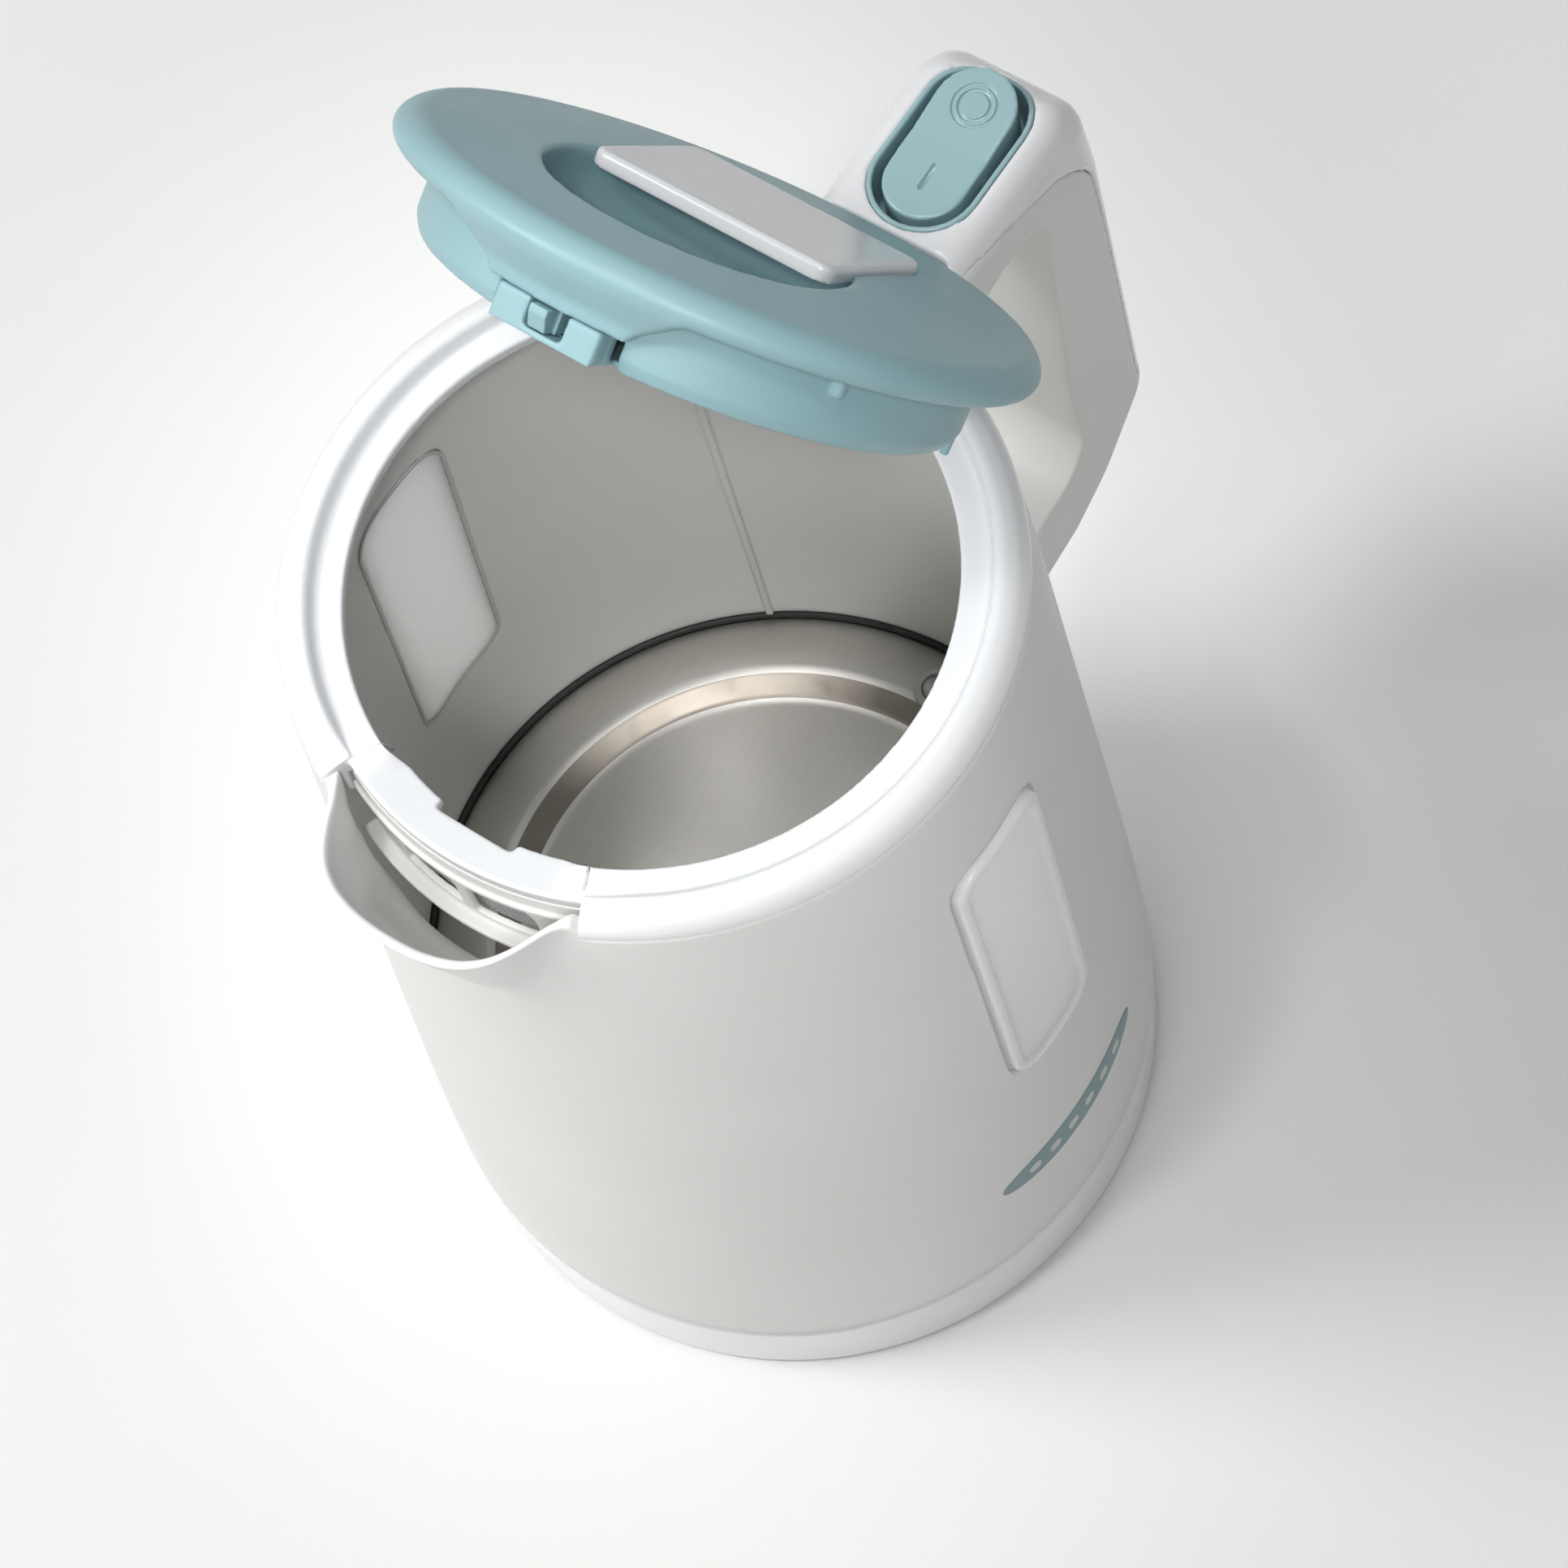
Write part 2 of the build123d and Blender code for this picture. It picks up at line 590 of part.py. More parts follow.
def handle_blank():
    """The whole handle as one rounded block, trimmed to the jug's outside."""
    outer_radii = [(OUTER_LINE[1], 11.0), (OUTER_LINE[2], 40.0), (OUTER_LINE[3], 12.0), (OUTER_LINE[4], 30.0)]
    inner_radii = [(OPENING_LINE[2], 20.0), (OPENING_LINE[3], 10.0), (OPENING_LINE[6], 11.0), (OPENING_LINE[7], 20.0)]
    with BuildPart() as blank:
        extrude(side_outline(OUTER_LINE, outer_radii), amount=HANDLE_HALF, both=True)
        extrude(side_outline(OPENING_LINE, inner_radii), amount=HANDLE_HALF + 5, both=True, mode=Mode.SUBTRACT)
        sides = blank.faces().filter_by(Axis.Y)
        outer_edges = sides.edges().filter_by(lambda e: e.center().Z > 213 or e.center().X > 104 or e.center().Z < 103)
        fillet(outer_edges.filter_by(lambda e: e.center().X > 60), 6.5)
        add(jug_solid(), mode=Mode.SUBTRACT)
    return blank.part


def oblong(half_length, half_width, low, high):
    """An upright block with round ends about the rocker's place."""
    with BuildPart() as block:
        with BuildSketch(Plane.XY.offset(low)):
            with Locations((ROCKER_X, 0)):
                SlotOverall(2 * half_length, 2 * half_width)
        extrude(amount=high - low)
    return block.part


def rod(x, z, radius, half_length):
    """A round bar along Y."""
    with BuildPart() as bar:
        with BuildSketch(Plane.XZ):
            with Locations((x, z)):
                Circle(radius)
        extrude(amount=half_length, both=True)
    return bar.part


WELL_HALF_L = ROCKER_HALF_L + WELL_GAP
WELL_HALF_W = ROCKER_HALF_W + WELL_GAP
WELL_T = 1.0
HINGE_PIN_HALF = 15.4


def handle_hollows():
    """What both halves of the handle leave free: the arm's slot, the hinge pin and the switch well."""
    with BuildPart() as hollows:
        with Locations(((SLOT_BACK_X + 50.0) / 2, 0, 226.7)):
            Box(SLOT_BACK_X - 50.0, 2 * SLOT_HALF, 26.8)
        add(rod(HINGE_X, HINGE_Z, HINGE_PIN_R, HINGE_PIN_HALF))
        add(oblong(WELL_HALF_L + WELL_T, WELL_HALF_W + WELL_T, WELL_FLOOR_Z - WELL_T, 240.0))
    return hollows.part


with BuildPart() as handle_shell:
    add(handle_blank())
    extrude(side_outline(SHELL_REGION, []), amount=HANDLE_HALF + 5, both=True, mode=Mode.INTERSECT)
    add(handle_hollows(), mode=Mode.SUBTRACT)
    # boss inside the grip for the screw
    with Locations((118.6, 0, 122.2)):
        Box(10.0, 9.0, 9.8)
    with Locations((HANDLE_SCREW_X, 0, 116.0)):
        Cylinder(1.4, 9.0, align=(Align.CENTER, Align.CENTER, Align.MIN), mode=Mode.SUBTRACT)
save(handle_shell.part, "handle_shell")

with BuildPart() as handle_grip:
    add(handle_blank())
    extrude(side_outline(SHELL_REGION, []), amount=HANDLE_HALF + 5, both=True, mode=Mode.SUBTRACT)
    add(handle_hollows(), mode=Mode.SUBTRACT)
    extrude(side_outline(CAVITY, []), amount=CAVITY_HALF, both=True, mode=Mode.SUBTRACT)
    with Locations((HANDLE_SCREW_X, 0, 80.0)):
        Cylinder(3.2, 27.0, align=(Align.CENTER, Align.CENTER, Align.MIN), mode=Mode.SUBTRACT)
        Cylinder(1.4, 40.0, align=(Align.CENTER, Align.CENTER, Align.MIN), mode=Mode.SUBTRACT)
save(handle_grip.part, "handle_grip")

with BuildPart() as handle_screw:
    with Locations((HANDLE_SCREW_X, 0, 105.0)):
        Cylinder(3.2, 2.0, align=(Align.CENTER, Align.CENTER, Align.MIN))
        Cylinder(1.4, 19.0, align=(Align.CENTER, Align.CENTER, Align.MIN))
save(handle_screw.part, "handle_screw")

with BuildPart() as hinge_pin:
    add(rod(HINGE_X, HINGE_Z, HINGE_PIN_R, HINGE_PIN_HALF))
save(hinge_pin.part, "hinge_pin")

SPRING_WIRE_R = 0.35
with BuildPart() as hinge_spring:
    with BuildLine() as coil:
        Helix(0.95, 7.6, HINGE_PIN_R + SPRING_WIRE_R + 0.03, center=(HINGE_X, -3.8, HINGE_Z), direction=(0, 1, 0))
    with BuildSketch(Plane(origin=coil.line @ 0, z_dir=coil.line % 0)):
        Circle(SPRING_WIRE_R)
    sweep()
save(hinge_spring.part, "hinge_spring")

# ================================================================ switch
with BuildPart() as switch_well:
    add(oblong(WELL_HALF_L + WELL_T, WELL_HALF_W + WELL_T, WELL_FLOOR_Z - WELL_T, 240.0))
    add(oblong(WELL_HALF_L, WELL_HALF_W, WELL_FLOOR_Z, 241.0), mode=Mode.SUBTRACT)
    add(handle_blank(), mode=Mode.INTERSECT)
    add(rod(ROCKER_X, ROCKER_Z, ROCKER_PIN_R, 20.0), mode=Mode.SUBTRACT)
save(switch_well.part, "switch_well")

ROCKER_LOW_Z = 219.5
with BuildPart() as rocker:
    add(oblong(ROCKER_HALF_L, ROCKER_HALF_W, ROCKER_LOW_Z, 234.0))
    # the pressed faces rise towards the outer end
    with BuildSketch(Plane.XZ):
        with BuildLine():
            Polyline((70, 227.3), (ROCKER_X, 228.2), (120, 232.4), (120, 240), (70, 240), close=True)
        make_face()
    extrude(amount=20.0, both=True, mode=Mode.SUBTRACT)
    add(rod(ROCKER_X, ROCKER_Z, ROCKER_PIN_R + PIN_GAP, 20.0), mode=Mode.SUBTRACT)
save(rocker.part, "rocker")

with BuildPart() as rocker_pin:
    add(rod(ROCKER_X, ROCKER_Z, ROCKER_PIN_R, WELL_HALF_W + 0.9))
save(rocker_pin.part, "rocker_pin")

with BuildPart() as steam_switch:
    with Locations((109.4, 0, 192.0)):
        Box(9.6, 2 * CAVITY_HALF, 20.0)
save(steam_switch.part, "steam_switch")

with BuildPart() as bimetal_disc:
    with BuildSketch(Plane.YZ.offset(104.1)):
        with Locations((0, 192.0)):
            Circle(8.0)
    extrude(amount=0.5)
save(bimetal_disc.part, "bimetal_disc")

# ================================================================ lid
COVER_HIGH = -13.8  # upper side of the inner cover
APRON_LOW = -9.3
APRON_ANGLE = 27.0
PLATE_LOW = 3.6
ARM_LINE = [
    (47, 2.6), (56, 1.4), (60, -0.4), (62, -1.4), (66, -3.8), (73.5, -6.2), (HINGE_X, -8.6), (70, -11.4), (58, -4.1),
    (52, -2.6), (47, -2.2),
]
LID_SCREW_ANGLES = (50, 130, 230, 310)
LID_SCREW_R = 40.0


def lid_box(u0, u1, v0, v1, w0, w1):
    """A block given by its limits in the lid's frame."""
    with BuildPart(LID) as block:
        with Locations(((u0 + u1) / 2, (v0 + v1) / 2, (w0 + w1) / 2)):
            Box(u1 - u0, v1 - v0, w1 - w0)
    return block.part


def lid_disc(u, v, radius, w0, w1):
    """A round block across the lid, given in the lid's frame."""
    with BuildPart(LID) as block:
        with Locations((u, v, (w0 + w1) / 2)):
            Cylinder(radius, w1 - w0)
    return block.part


def lid_discs(radius, w0, w1):
    """One round block at each of the inner cover's screws."""
    with BuildPart() as blocks:
        for angle in LID_SCREW_ANGLES:
            u, v = LID_SCREW_R * cos(radians(angle)), LID_SCREW_R * sin(radians(angle))
            add(lid_disc(u, v, radius, w0, w1))
    return blocks.part


def lid_turned(points, axis, arc=360.0, start=LID_SIDE):
    """The solid swept by a polygon turned about an axis of the lid."""
    with BuildPart() as turned:
        with BuildSketch(start):
            with BuildLine():
                Polyline(*points, close=True)
            make_face()
        revolve(axis=axis, revolution_arc=arc)
    return turned.part


def plate_outline(w0, w1):
    """The white plate's outline as a block between two heights of the lid."""
    with BuildPart() as block:
        with BuildSketch(LID.offset(w0)) as outline:
            with Locations((8.85, 0)):
                Rectangle(36.3, 46.0)
            fillet(outline.vertices(), 3.0)
        extrude(amount=w1 - w0)
    return block.part


def apron():
    """The thick front of the lid's edge, narrower towards the bottom."""
    start = radians(180 - APRON_ANGLE)
    front = Plane(
        origin=LID.origin, x_dir=LID.x_dir * cos(start) + LID.y_dir * sin(start),
        z_dir=LID.x_dir * sin(start) - LID.y_dir * cos(start),
    )
    points = [(PLUG_R, LID_LOW + 1), (54.0, LID_LOW + 1), (55.3, -1.0), (54.7, -2.4), (50.6, -6.9)]
    points += [(50.2, APRON_LOW), (PLUG_R, APRON_LOW)]
    half_front = [(0, 1), (25.5, 1), (23.5, -1.2), (20.5, -3.0), (13.5, -7.8), (12.0, APRON_LOW - 1), (0, APRON_LOW - 1)]
    with BuildPart() as block:
        add(lid_turned(points, LID_AXIS, arc=2 * APRON_ANGLE, start=front))
        with BuildSketch(LID_FRONT.offset(-60.0)):
            with BuildLine():
                Polyline(*half_front, close=True)
            make_face()
            mirror(about=Plane.YZ)
        extrude(amount=20.0, mode=Mode.INTERSECT)
    return block.part


with BuildPart() as lid_top:
    with BuildSketch(LID_SIDE):
        with BuildLine():
            ThreePointArc((0, 6.0), (26.0, 5.3), (50.0, 3.4))
            ThreePointArc((50.0, 3.4), (54.2, 2.0), (LID_R, 0))
            ThreePointArc((LID_R, 0), (54.9, -1.8), (53.0, LID_LOW))
            Polyline((53.0, LID_LOW), (PLUG_R, LID_LOW), (PLUG_R, 0.9), (0, 3.6), (0, 6.0))
        make_face()
    revolve(axis=LID_AXIS)
    add(lid_box(2.0, 29.0, -25.0, 25.0, 1.4, 4.2))
    # finger recess
    add(lid_disc(BOWL_X, 0, BOWL_R, -6.0, 10.0), mode=Mode.SUBTRACT)
    with BuildSketch(Plane(origin=BOWL_AXIS.position, x_dir=LID_SIDE.x_dir, z_dir=LID_SIDE.z_dir)):
        with BuildLine():
            Polyline((0, -8.0), (17.0, -8.0))
            ThreePointArc((17.0, -8.0), (23.5, -4.2), (BOWL_R, 1.0))
            Polyline((BOWL_R, 1.0), (BOWL_R, 3.2), (BOWL_R + 2, 3.2), (BOWL_R + 2, 1.0))
            ThreePointArc((BOWL_R + 2, 1.0), (25.2, -5.6), (17.5, -10.0))
            Polyline((17.5, -10.0), (0, -10.0), (0, -8.0))
        make_face()
    revolve(axis=BOWL_AXIS)
    add(plate_outline(PLATE_LOW, 9.0), mode=Mode.SUBTRACT)
    add(apron())
    # hinge arm
    with BuildSketch(LID_SIDE):
        with BuildLine():
            Polyline(*ARM_LINE, close=True)
        make_face()
        with Locations((HINGE_X, HINGE_Z - LID_MID_Z)):
            Circle(KNUCKLE_R)
    extrude(amount=KNUCKLE_HALF, both=True)
    add(lid_box(67.9, 80.0, -4.8, 4.8, -20.0, 0.0), mode=Mode.SUBTRACT)
    add(rod(HINGE_X, HINGE_Z, HINGE_PIN_R + PIN_GAP, 20.0), mode=Mode.SUBTRACT)
save(lid_top.part, "lid_top")

with BuildPart() as grip_plate:
    add(plate_outline(PLATE_LOW, PLATE_LOW + 3.0))
    top_edges = grip_plate.edges().sort_by(LID_AXIS)[-8:]
    fillet(top_edges, 0.9)
save(grip_plate.part, "grip_plate")

with BuildPart() as lid_plug:
    wall = [(45.0, PLUG_LOW), (45.9, PLUG_LOW), (PLUG_R, -12.6), (PLUG_R, -0.6), (45.0, -0.6)]
    add(lid_turned(wall, LID_AXIS))
    add(lid_box(-49.9, -45.2, -9.5, 9.5, PLUG_LOW, APRON_LOW))
    add(lid_box(-46.0, -39.0, -5.0, 5.0, COVER_HIGH, APRON_LOW))
    # window and channel of the bolt
    add(lid_box(-52.0, -40.5, -3.5, 3.5, COVER_HIGH, APRON_LOW), mode=Mode.SUBTRACT)
    for side in (-1, 1):
        middle = side * 10.5
        add(lid_box(-50.0, -42.0, middle - 0.8, middle + 0.8, PLUG_LOW - 1, APRON_LOW), mode=Mode.SUBTRACT)
    # bosses of the inner cover's screws
    for angle in LID_SCREW_ANGLES:
        u, v = cos(radians(angle)), sin(radians(angle))
        add(lid_disc(LID_SCREW_R * u, LID_SCREW_R * v, 3.4, -12.4, -4.0))
        add(lid_disc(44.0 * u, 44.0 * v, 2.0, -12.4, -4.0))
    add(lid_discs(1.2, -15.0, -5.0), mode=Mode.SUBTRACT)
    # small ribs under the lid's edge and two pointed tabs below the plug
    for side in (-1, 1):
        u, v = -47.4 * cos(radians(55)), side * 47.4 * sin(radians(55))
        add(lid_disc(u, v, 1.1, -6.5, LID_LOW))
        u, v = 45.9 * cos(radians(68)), side * 45.9 * sin(radians(68))
        add(lid_disc(u, v, 0.8, PLUG_LOW - 3.0, PLUG_LOW + 2.0))
save(lid_plug.part, "lid_plug")

with BuildPart() as lid_inner_cover:
    add(lid_disc(0, 0, 45.0, PLUG_LOW, COVER_HIGH))
    add(lid_discs(4.2, COVER_HIGH, -12.4))
    add(lid_discs(2.5, PLUG_LOW - 1, COVER_HIGH), mode=Mode.SUBTRACT)
    add(lid_discs(1.2, PLUG_LOW - 1, -5.0), mode=Mode.SUBTRACT)
    for side in (-1, 1):
        middle = side * 10.5
        add(lid_box(-50.0, -42.0, middle - 0.8, middle + 0.8, PLUG_LOW - 1, COVER_HIGH), mode=Mode.SUBTRACT)
save(lid_inner_cover.part, "lid_inner_cover")

with BuildPart() as lid_screws:
    add(lid_discs(2.5, PLUG_LOW, COVER_HIGH))
    add(lid_discs(1.2, COVER_HIGH, -5.5))
save(lid_screws.part, "lid_screws")

BOLT_W = -11.55  # middle height of the bolt
with BuildPart() as lid_latch:
    with BuildSketch(LID_SIDE):
        with BuildLine():
            Polyline((-51.5, -10.9), (-49.9, -13.5), (-44.0, -13.5), (-44.0, -9.6), (-51.5, -9.6), close=True)
        make_face()
    extrude(amount=3.2, both=True)
    # the nose is narrower than the part that runs in the channel
    for side in (-1, 1):
        add(lid_box(-52.0, -47.6, side * 3.0 - 0.6, side * 3.0 + 0.6, -14.0, -9.0), mode=Mode.SUBTRACT)
    with BuildSketch(LID_FRONT.offset(-44.0)):
        with Locations((0, BOLT_W)):
            Circle(1.3)
    extrude(amount=-5.0, mode=Mode.SUBTRACT)
save(lid_latch.part, "lid_latch")

with BuildPart() as latch_spring:
    with BuildLine() as coil:
        Helix(0.9, 4.9, 0.8, center=LID.from_local_coords((-45.7, 0, BOLT_W)), direction=LID.x_dir)
    with BuildSketch(Plane(origin=coil.line @ 0, z_dir=coil.line % 0)):
        Circle(0.2)
    sweep()
save(latch_spring.part, "latch_spring")
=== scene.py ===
"""The electric kettle's looks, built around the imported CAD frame.

Lengths are millimetres inside the builders and become metres when a mesh is made. Z is up, the spout
points along -X and the handle along +X, and phi is an angle about Z that starts at the spout.
"""

import bpy
import bmesh
import json
import math
import numpy as np
from mathutils import Matrix, Vector


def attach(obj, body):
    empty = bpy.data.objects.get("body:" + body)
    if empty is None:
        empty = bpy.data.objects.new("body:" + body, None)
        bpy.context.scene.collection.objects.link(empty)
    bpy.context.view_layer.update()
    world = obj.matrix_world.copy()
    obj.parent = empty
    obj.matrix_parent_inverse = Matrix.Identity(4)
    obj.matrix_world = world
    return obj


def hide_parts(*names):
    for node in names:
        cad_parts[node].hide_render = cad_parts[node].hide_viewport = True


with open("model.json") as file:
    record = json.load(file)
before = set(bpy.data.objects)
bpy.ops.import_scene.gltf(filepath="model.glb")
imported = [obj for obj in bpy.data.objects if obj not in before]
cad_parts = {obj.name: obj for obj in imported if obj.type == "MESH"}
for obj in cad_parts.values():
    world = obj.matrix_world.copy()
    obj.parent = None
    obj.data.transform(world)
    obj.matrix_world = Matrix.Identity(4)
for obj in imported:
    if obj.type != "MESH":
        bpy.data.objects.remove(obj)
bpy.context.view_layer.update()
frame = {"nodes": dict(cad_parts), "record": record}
SCENE = bpy.context.scene
MM = 0.001

# ================================================================ mesh helpers


def mesh_object(name, verts, faces):
    """A new object from vertices in millimetres."""
    mesh = bpy.data.meshes.new(name)
    mesh.from_pydata([tuple(c * MM for c in v) for v in verts], [], faces)
    mesh.validate()
    obj = bpy.data.objects.new(name, mesh)
    SCENE.collection.objects.link(obj)
    return obj


def tidy_normals(obj):
    """Merge doubles and point every face outwards."""
    bm = bmesh.new()
    bm.from_mesh(obj.data)
    bmesh.ops.remove_doubles(bm, verts=bm.verts, dist=1e-7)
    bmesh.ops.recalc_face_normals(bm, faces=bm.faces)
    bm.to_mesh(obj.data)
    bm.free()
    return obj


def smooth_shaded(obj):
    """Shade every face smooth."""
    obj.data.polygons.foreach_set("use_smooth", [True] * len(obj.data.polygons))
    return obj


def apply_modifiers(obj):
    """Replace the mesh by its evaluated form."""
    deps = bpy.context.evaluated_depsgraph_get()
    mesh = bpy.data.meshes.new_from_object(obj.evaluated_get(deps))
    obj.modifiers.clear()
    obj.data = mesh
    return obj


def cut(target, cutter):
    """Take the cutter away from the target."""
    mod = target.modifiers.new("bool", "BOOLEAN")
    mod.operation = "DIFFERENCE"
    mod.solver = "EXACT"
    mod.object = cutter
    apply_modifiers(target)
    bpy.data.objects.remove(cutter)


def bevelled(obj, width):
    """Round every edge that turns by more than 30 degrees."""
    mod = obj.modifiers.new("bevel", "BEVEL")
    mod.width = width * MM
    mod.segments = 3
    mod.limit_method = "ANGLE"
    mod.angle_limit = math.radians(30.0)
    return apply_modifiers(obj)


def remeshed(obj, voxel, rounds):
    """Voxel remesh, then smoothing, so that every edge gets a small moulded radius."""
    mod = obj.modifiers.new("remesh", "REMESH")
    mod.mode = "VOXEL"
    mod.voxel_size = voxel * MM
    mod.adaptivity = 0.0
    mod = obj.modifiers.new("smooth", "SMOOTH")
    mod.iterations = rounds
    mod.factor = 0.5
    return smooth_shaded(apply_modifiers(obj))


def softened(node, voxel, rounds):
    """A free copy of a CAD node's mesh with moulded edges."""
    obj = bpy.data.objects.new(node + "_soft", frame["nodes"][node].data.copy())
    SCENE.collection.objects.link(obj)
    return remeshed(tidy_normals(obj), voxel, rounds)


def turned(name, profile, steps, start=0.0, sweep=360.0):
    """A closed solid of revolution about Z from a closed loop of (radius, height)."""
    full = sweep == 360.0
    count = steps if full else steps + 1
    verts = []
    for i in range(count):
        a = math.radians(start + sweep * i / steps)
        verts += [(r * math.cos(a), r * math.sin(a), z) for r, z in profile]
    n = len(profile)
    faces = []
    for i in range(steps):
        j = (i + 1) % count
        for k in range(n):
            m = (k + 1) % n
            faces.append((i * n + k, j * n + k, j * n + m, i * n + m))
    if not full:
        faces.append(tuple(range(n)))
        faces.append(tuple(reversed(range((count - 1) * n, count * n))))
    return tidy_normals(mesh_object(name, verts, faces))


def rounded_line(points, radii, closed=True, steps=6):
    """Corners of a polygon replaced by short curves that start radii[i] before each corner."""
    out = []
    n = len(points)
    for i, p in enumerate(points):
        d = radii[i] if isinstance(radii, (list, tuple)) else radii
        if d <= 0 or (not closed and i in (0, n - 1)):
            out.append(tuple(p))
            continue
        p = np.array(p, float)
        a = np.array(points[i - 1], float)
        b = np.array(points[(i + 1) % n], float)
        la, lb = np.linalg.norm(a - p), np.linalg.norm(b - p)
        s = p + (a - p) * min(d / la, 0.49)
        e = p + (b - p) * min(d / lb, 0.49)
        for k in range(steps + 1):
            t = k / steps
            out.append(tuple((1 - t) ** 2 * s + 2 * t * (1 - t) * p + t * t * e))
    return out


def prism(name, outline, low, high, place):
    """A block with the outline, from low to high; place(a, b, h) gives each point."""
    n = len(outline)
    verts = [place(a, b, low) for a, b in outline] + [place(a, b, high) for a, b in outline]
    faces = [tuple(reversed(range(n))), tuple(range(n, 2 * n))]
    faces += [(i, (i + 1) % n, n + (i + 1) % n, n + i) for i in range(n)]
    return tidy_normals(mesh_object(name, verts, faces))


def along_x(a, b, h):
    """Place an outline in YZ and run it along X."""
    return (h, a, b)


def along_y(a, b, h):
    """Place an outline in XZ and run it along Y."""
    return (a, h, b)


def along_z(a, b, h):
    """Place an outline in XY and run it along Z."""
    return (a, b, h)


def put(obj, body, slot, replaces=(), material=None):
    """Ride on a body, stand for CAD nodes and wear a material; the slot argument is not used."""
    if material:
        obj.data.materials.clear()
        obj.data.materials.append(material)
    if replaces:
        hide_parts(*replaces)
    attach(obj, body)


# ================================================================ materials


class Shader:
    """A small wrapper that builds one node material."""

    def __init__(self, name):
        self.material = bpy.data.materials.new(name)
        self.material.use_nodes = True
        self.tree = self.material.node_tree
        self.bsdf = self.tree.nodes["Principled BSDF"]

    def node(self, kind, **inputs):
        """A new node; p_ marks a property, and every other name is an input socket."""
        made = self.tree.nodes.new(kind)
        for key, value in inputs.items():
            if key.startswith("p_"):
                setattr(made, key[2:], value)
            else:
                made.inputs[key.replace("_", " ")].default_value = value
        return made

    def link(self, a, out, b, into):
        """Join the output of one node to an input of another."""
        self.tree.links.new(a.outputs[out], b.inputs[into])

    def set(self, **values):
        """Put uniform values on the shader's own sockets."""
        for key, value in values.items():
            self.bsdf.inputs[key.replace("_", " ")].default_value = value

    def coords(self, scale=(1, 1, 1)):
        """Object coordinates, with a scale per axis."""
        tex = self.node("ShaderNodeTexCoord")
        mapping = self.node("ShaderNodeMapping")
        mapping.inputs["Scale"].default_value = scale
        self.link(tex, "Object", mapping, "Vector")
        return mapping

    def noise(self, scale, detail, roughness=0.5, axes=(1, 1, 1)):
        """Noise over object coordinates; the scale is per metre."""
        mapping = self.coords(axes)
        noise = self.node("ShaderNodeTexNoise", Scale=scale, Detail=detail, Roughness=roughness)
        self.link(mapping, "Vector", noise, "Vector")
        return noise

    def ramp(self, source, out, low, high, c0, c1):
        """A colour ramp from c0 at low to c1 at high."""
        ramp = self.node("ShaderNodeValToRGB")
        ramp.color_ramp.elements[0].position = low
        ramp.color_ramp.elements[1].position = high
        ramp.color_ramp.elements[0].color = c0
        ramp.color_ramp.elements[1].color = c1
        self.link(source, out, ramp, "Fac")
        return ramp

    def bump(self, source, out, distance):
        """Add a bump to those that are already there."""
        bump = self.node("ShaderNodeBump", Strength=1.0, Distance=distance)
        self.link(source, out, bump, "Height")
        old = self.bsdf.inputs["Normal"].links
        if old:
            self.tree.links.new(old[0].from_socket, bump.inputs["Normal"])
        self.link(bump, "Normal", self.bsdf, "Normal")

    def colour_noise(self, scale, c0, c1):
        """A colour that drifts between two near shades."""
        ramp = self.ramp(self.noise(scale, 4.0), "Fac", 0.35, 0.65, (*c0, 1), (*c1, 1))
        self.link(ramp, "Color", self.bsdf, "Base Color")

    def rough_noise(self, scale, r0, r1, detail=4.0, axes=(1, 1, 1)):
        """A roughness that drifts between two values."""
        noise = self.noise(scale, detail, axes=axes)
        ramp = self.ramp(noise, "Fac", 0.3, 0.7, (r0, r0, r0, 1), (r1, r1, r1, 1))
        self.link(ramp, "Color", self.bsdf, "Roughness")


def moulded(name, c0, c1, r0, r1, grain, coat=0.0, coat_roughness=0.1):
    """Moulded plastic: faint colour drift, uneven polish and a fine moulded grain."""
    s = Shader(name)
    s.colour_noise(14.0, c0, c1)
    s.rough_noise(60.0, r0, r1)
    s.bump(s.noise(2600.0, 2.0), "Fac", grain * MM)
    s.bump(s.noise(90.0, 2.0), "Fac", 0.02 * MM)
    s.set(Coat_Weight=coat, Coat_Roughness=coat_roughness, IOR=1.49)
    return s.material


# two near colours, two roughnesses, the grain's depth, and the coat's weight and roughness
WHITE_SATIN = moulded(
    "white_satin_plastic", (0.735, 0.735, 0.715), (0.765, 0.765, 0.745), 0.36, 0.44, 0.010, 0.10, 0.25)
WHITE_GLOSS = moulded(
    "white_gloss_plastic", (0.765, 0.77, 0.785), (0.79, 0.795, 0.81), 0.14, 0.20, 0.002, 0.5, 0.06)
# a greyer copy of the white gloss for the lid's grip plate: painted reflection of the grey surroundings it
# mirrors
PLATE_WHITE_PAINTED_REFLECTION = moulded(
    "plate_white_painted_reflection", (0.60, 0.61, 0.63), (0.63, 0.64, 0.66), 0.20, 0.30, 0.004, 0.35, 0.12)
TEAL_SATIN = moulded(
    "teal_satin_plastic", (0.245, 0.405, 0.44), (0.265, 0.43, 0.465), 0.40, 0.48, 0.012, 0.08, 0.25)
TEAL_GLOSS = moulded(
    "teal_gloss_plastic", (0.305, 0.475, 0.50), (0.325, 0.495, 0.52), 0.18, 0.24, 0.002, 0.35, 0.08)
PRINT_TEAL = moulded("printed_teal", (0.15, 0.25, 0.265), (0.175, 0.28, 0.295), 0.3, 0.4, 0.004)
PRINT_PALE = moulded("printed_pale", (0.52, 0.54, 0.53), (0.58, 0.60, 0.59), 0.3, 0.4, 0.004)
BLACK = moulded("black_nylon", (0.02, 0.02, 0.021), (0.03, 0.03, 0.031), 0.45, 0.6, 0.02)
SEAL = moulded("black_silicone", (0.012, 0.012, 0.012), (0.022, 0.022, 0.022), 0.5, 0.6, 0.01)
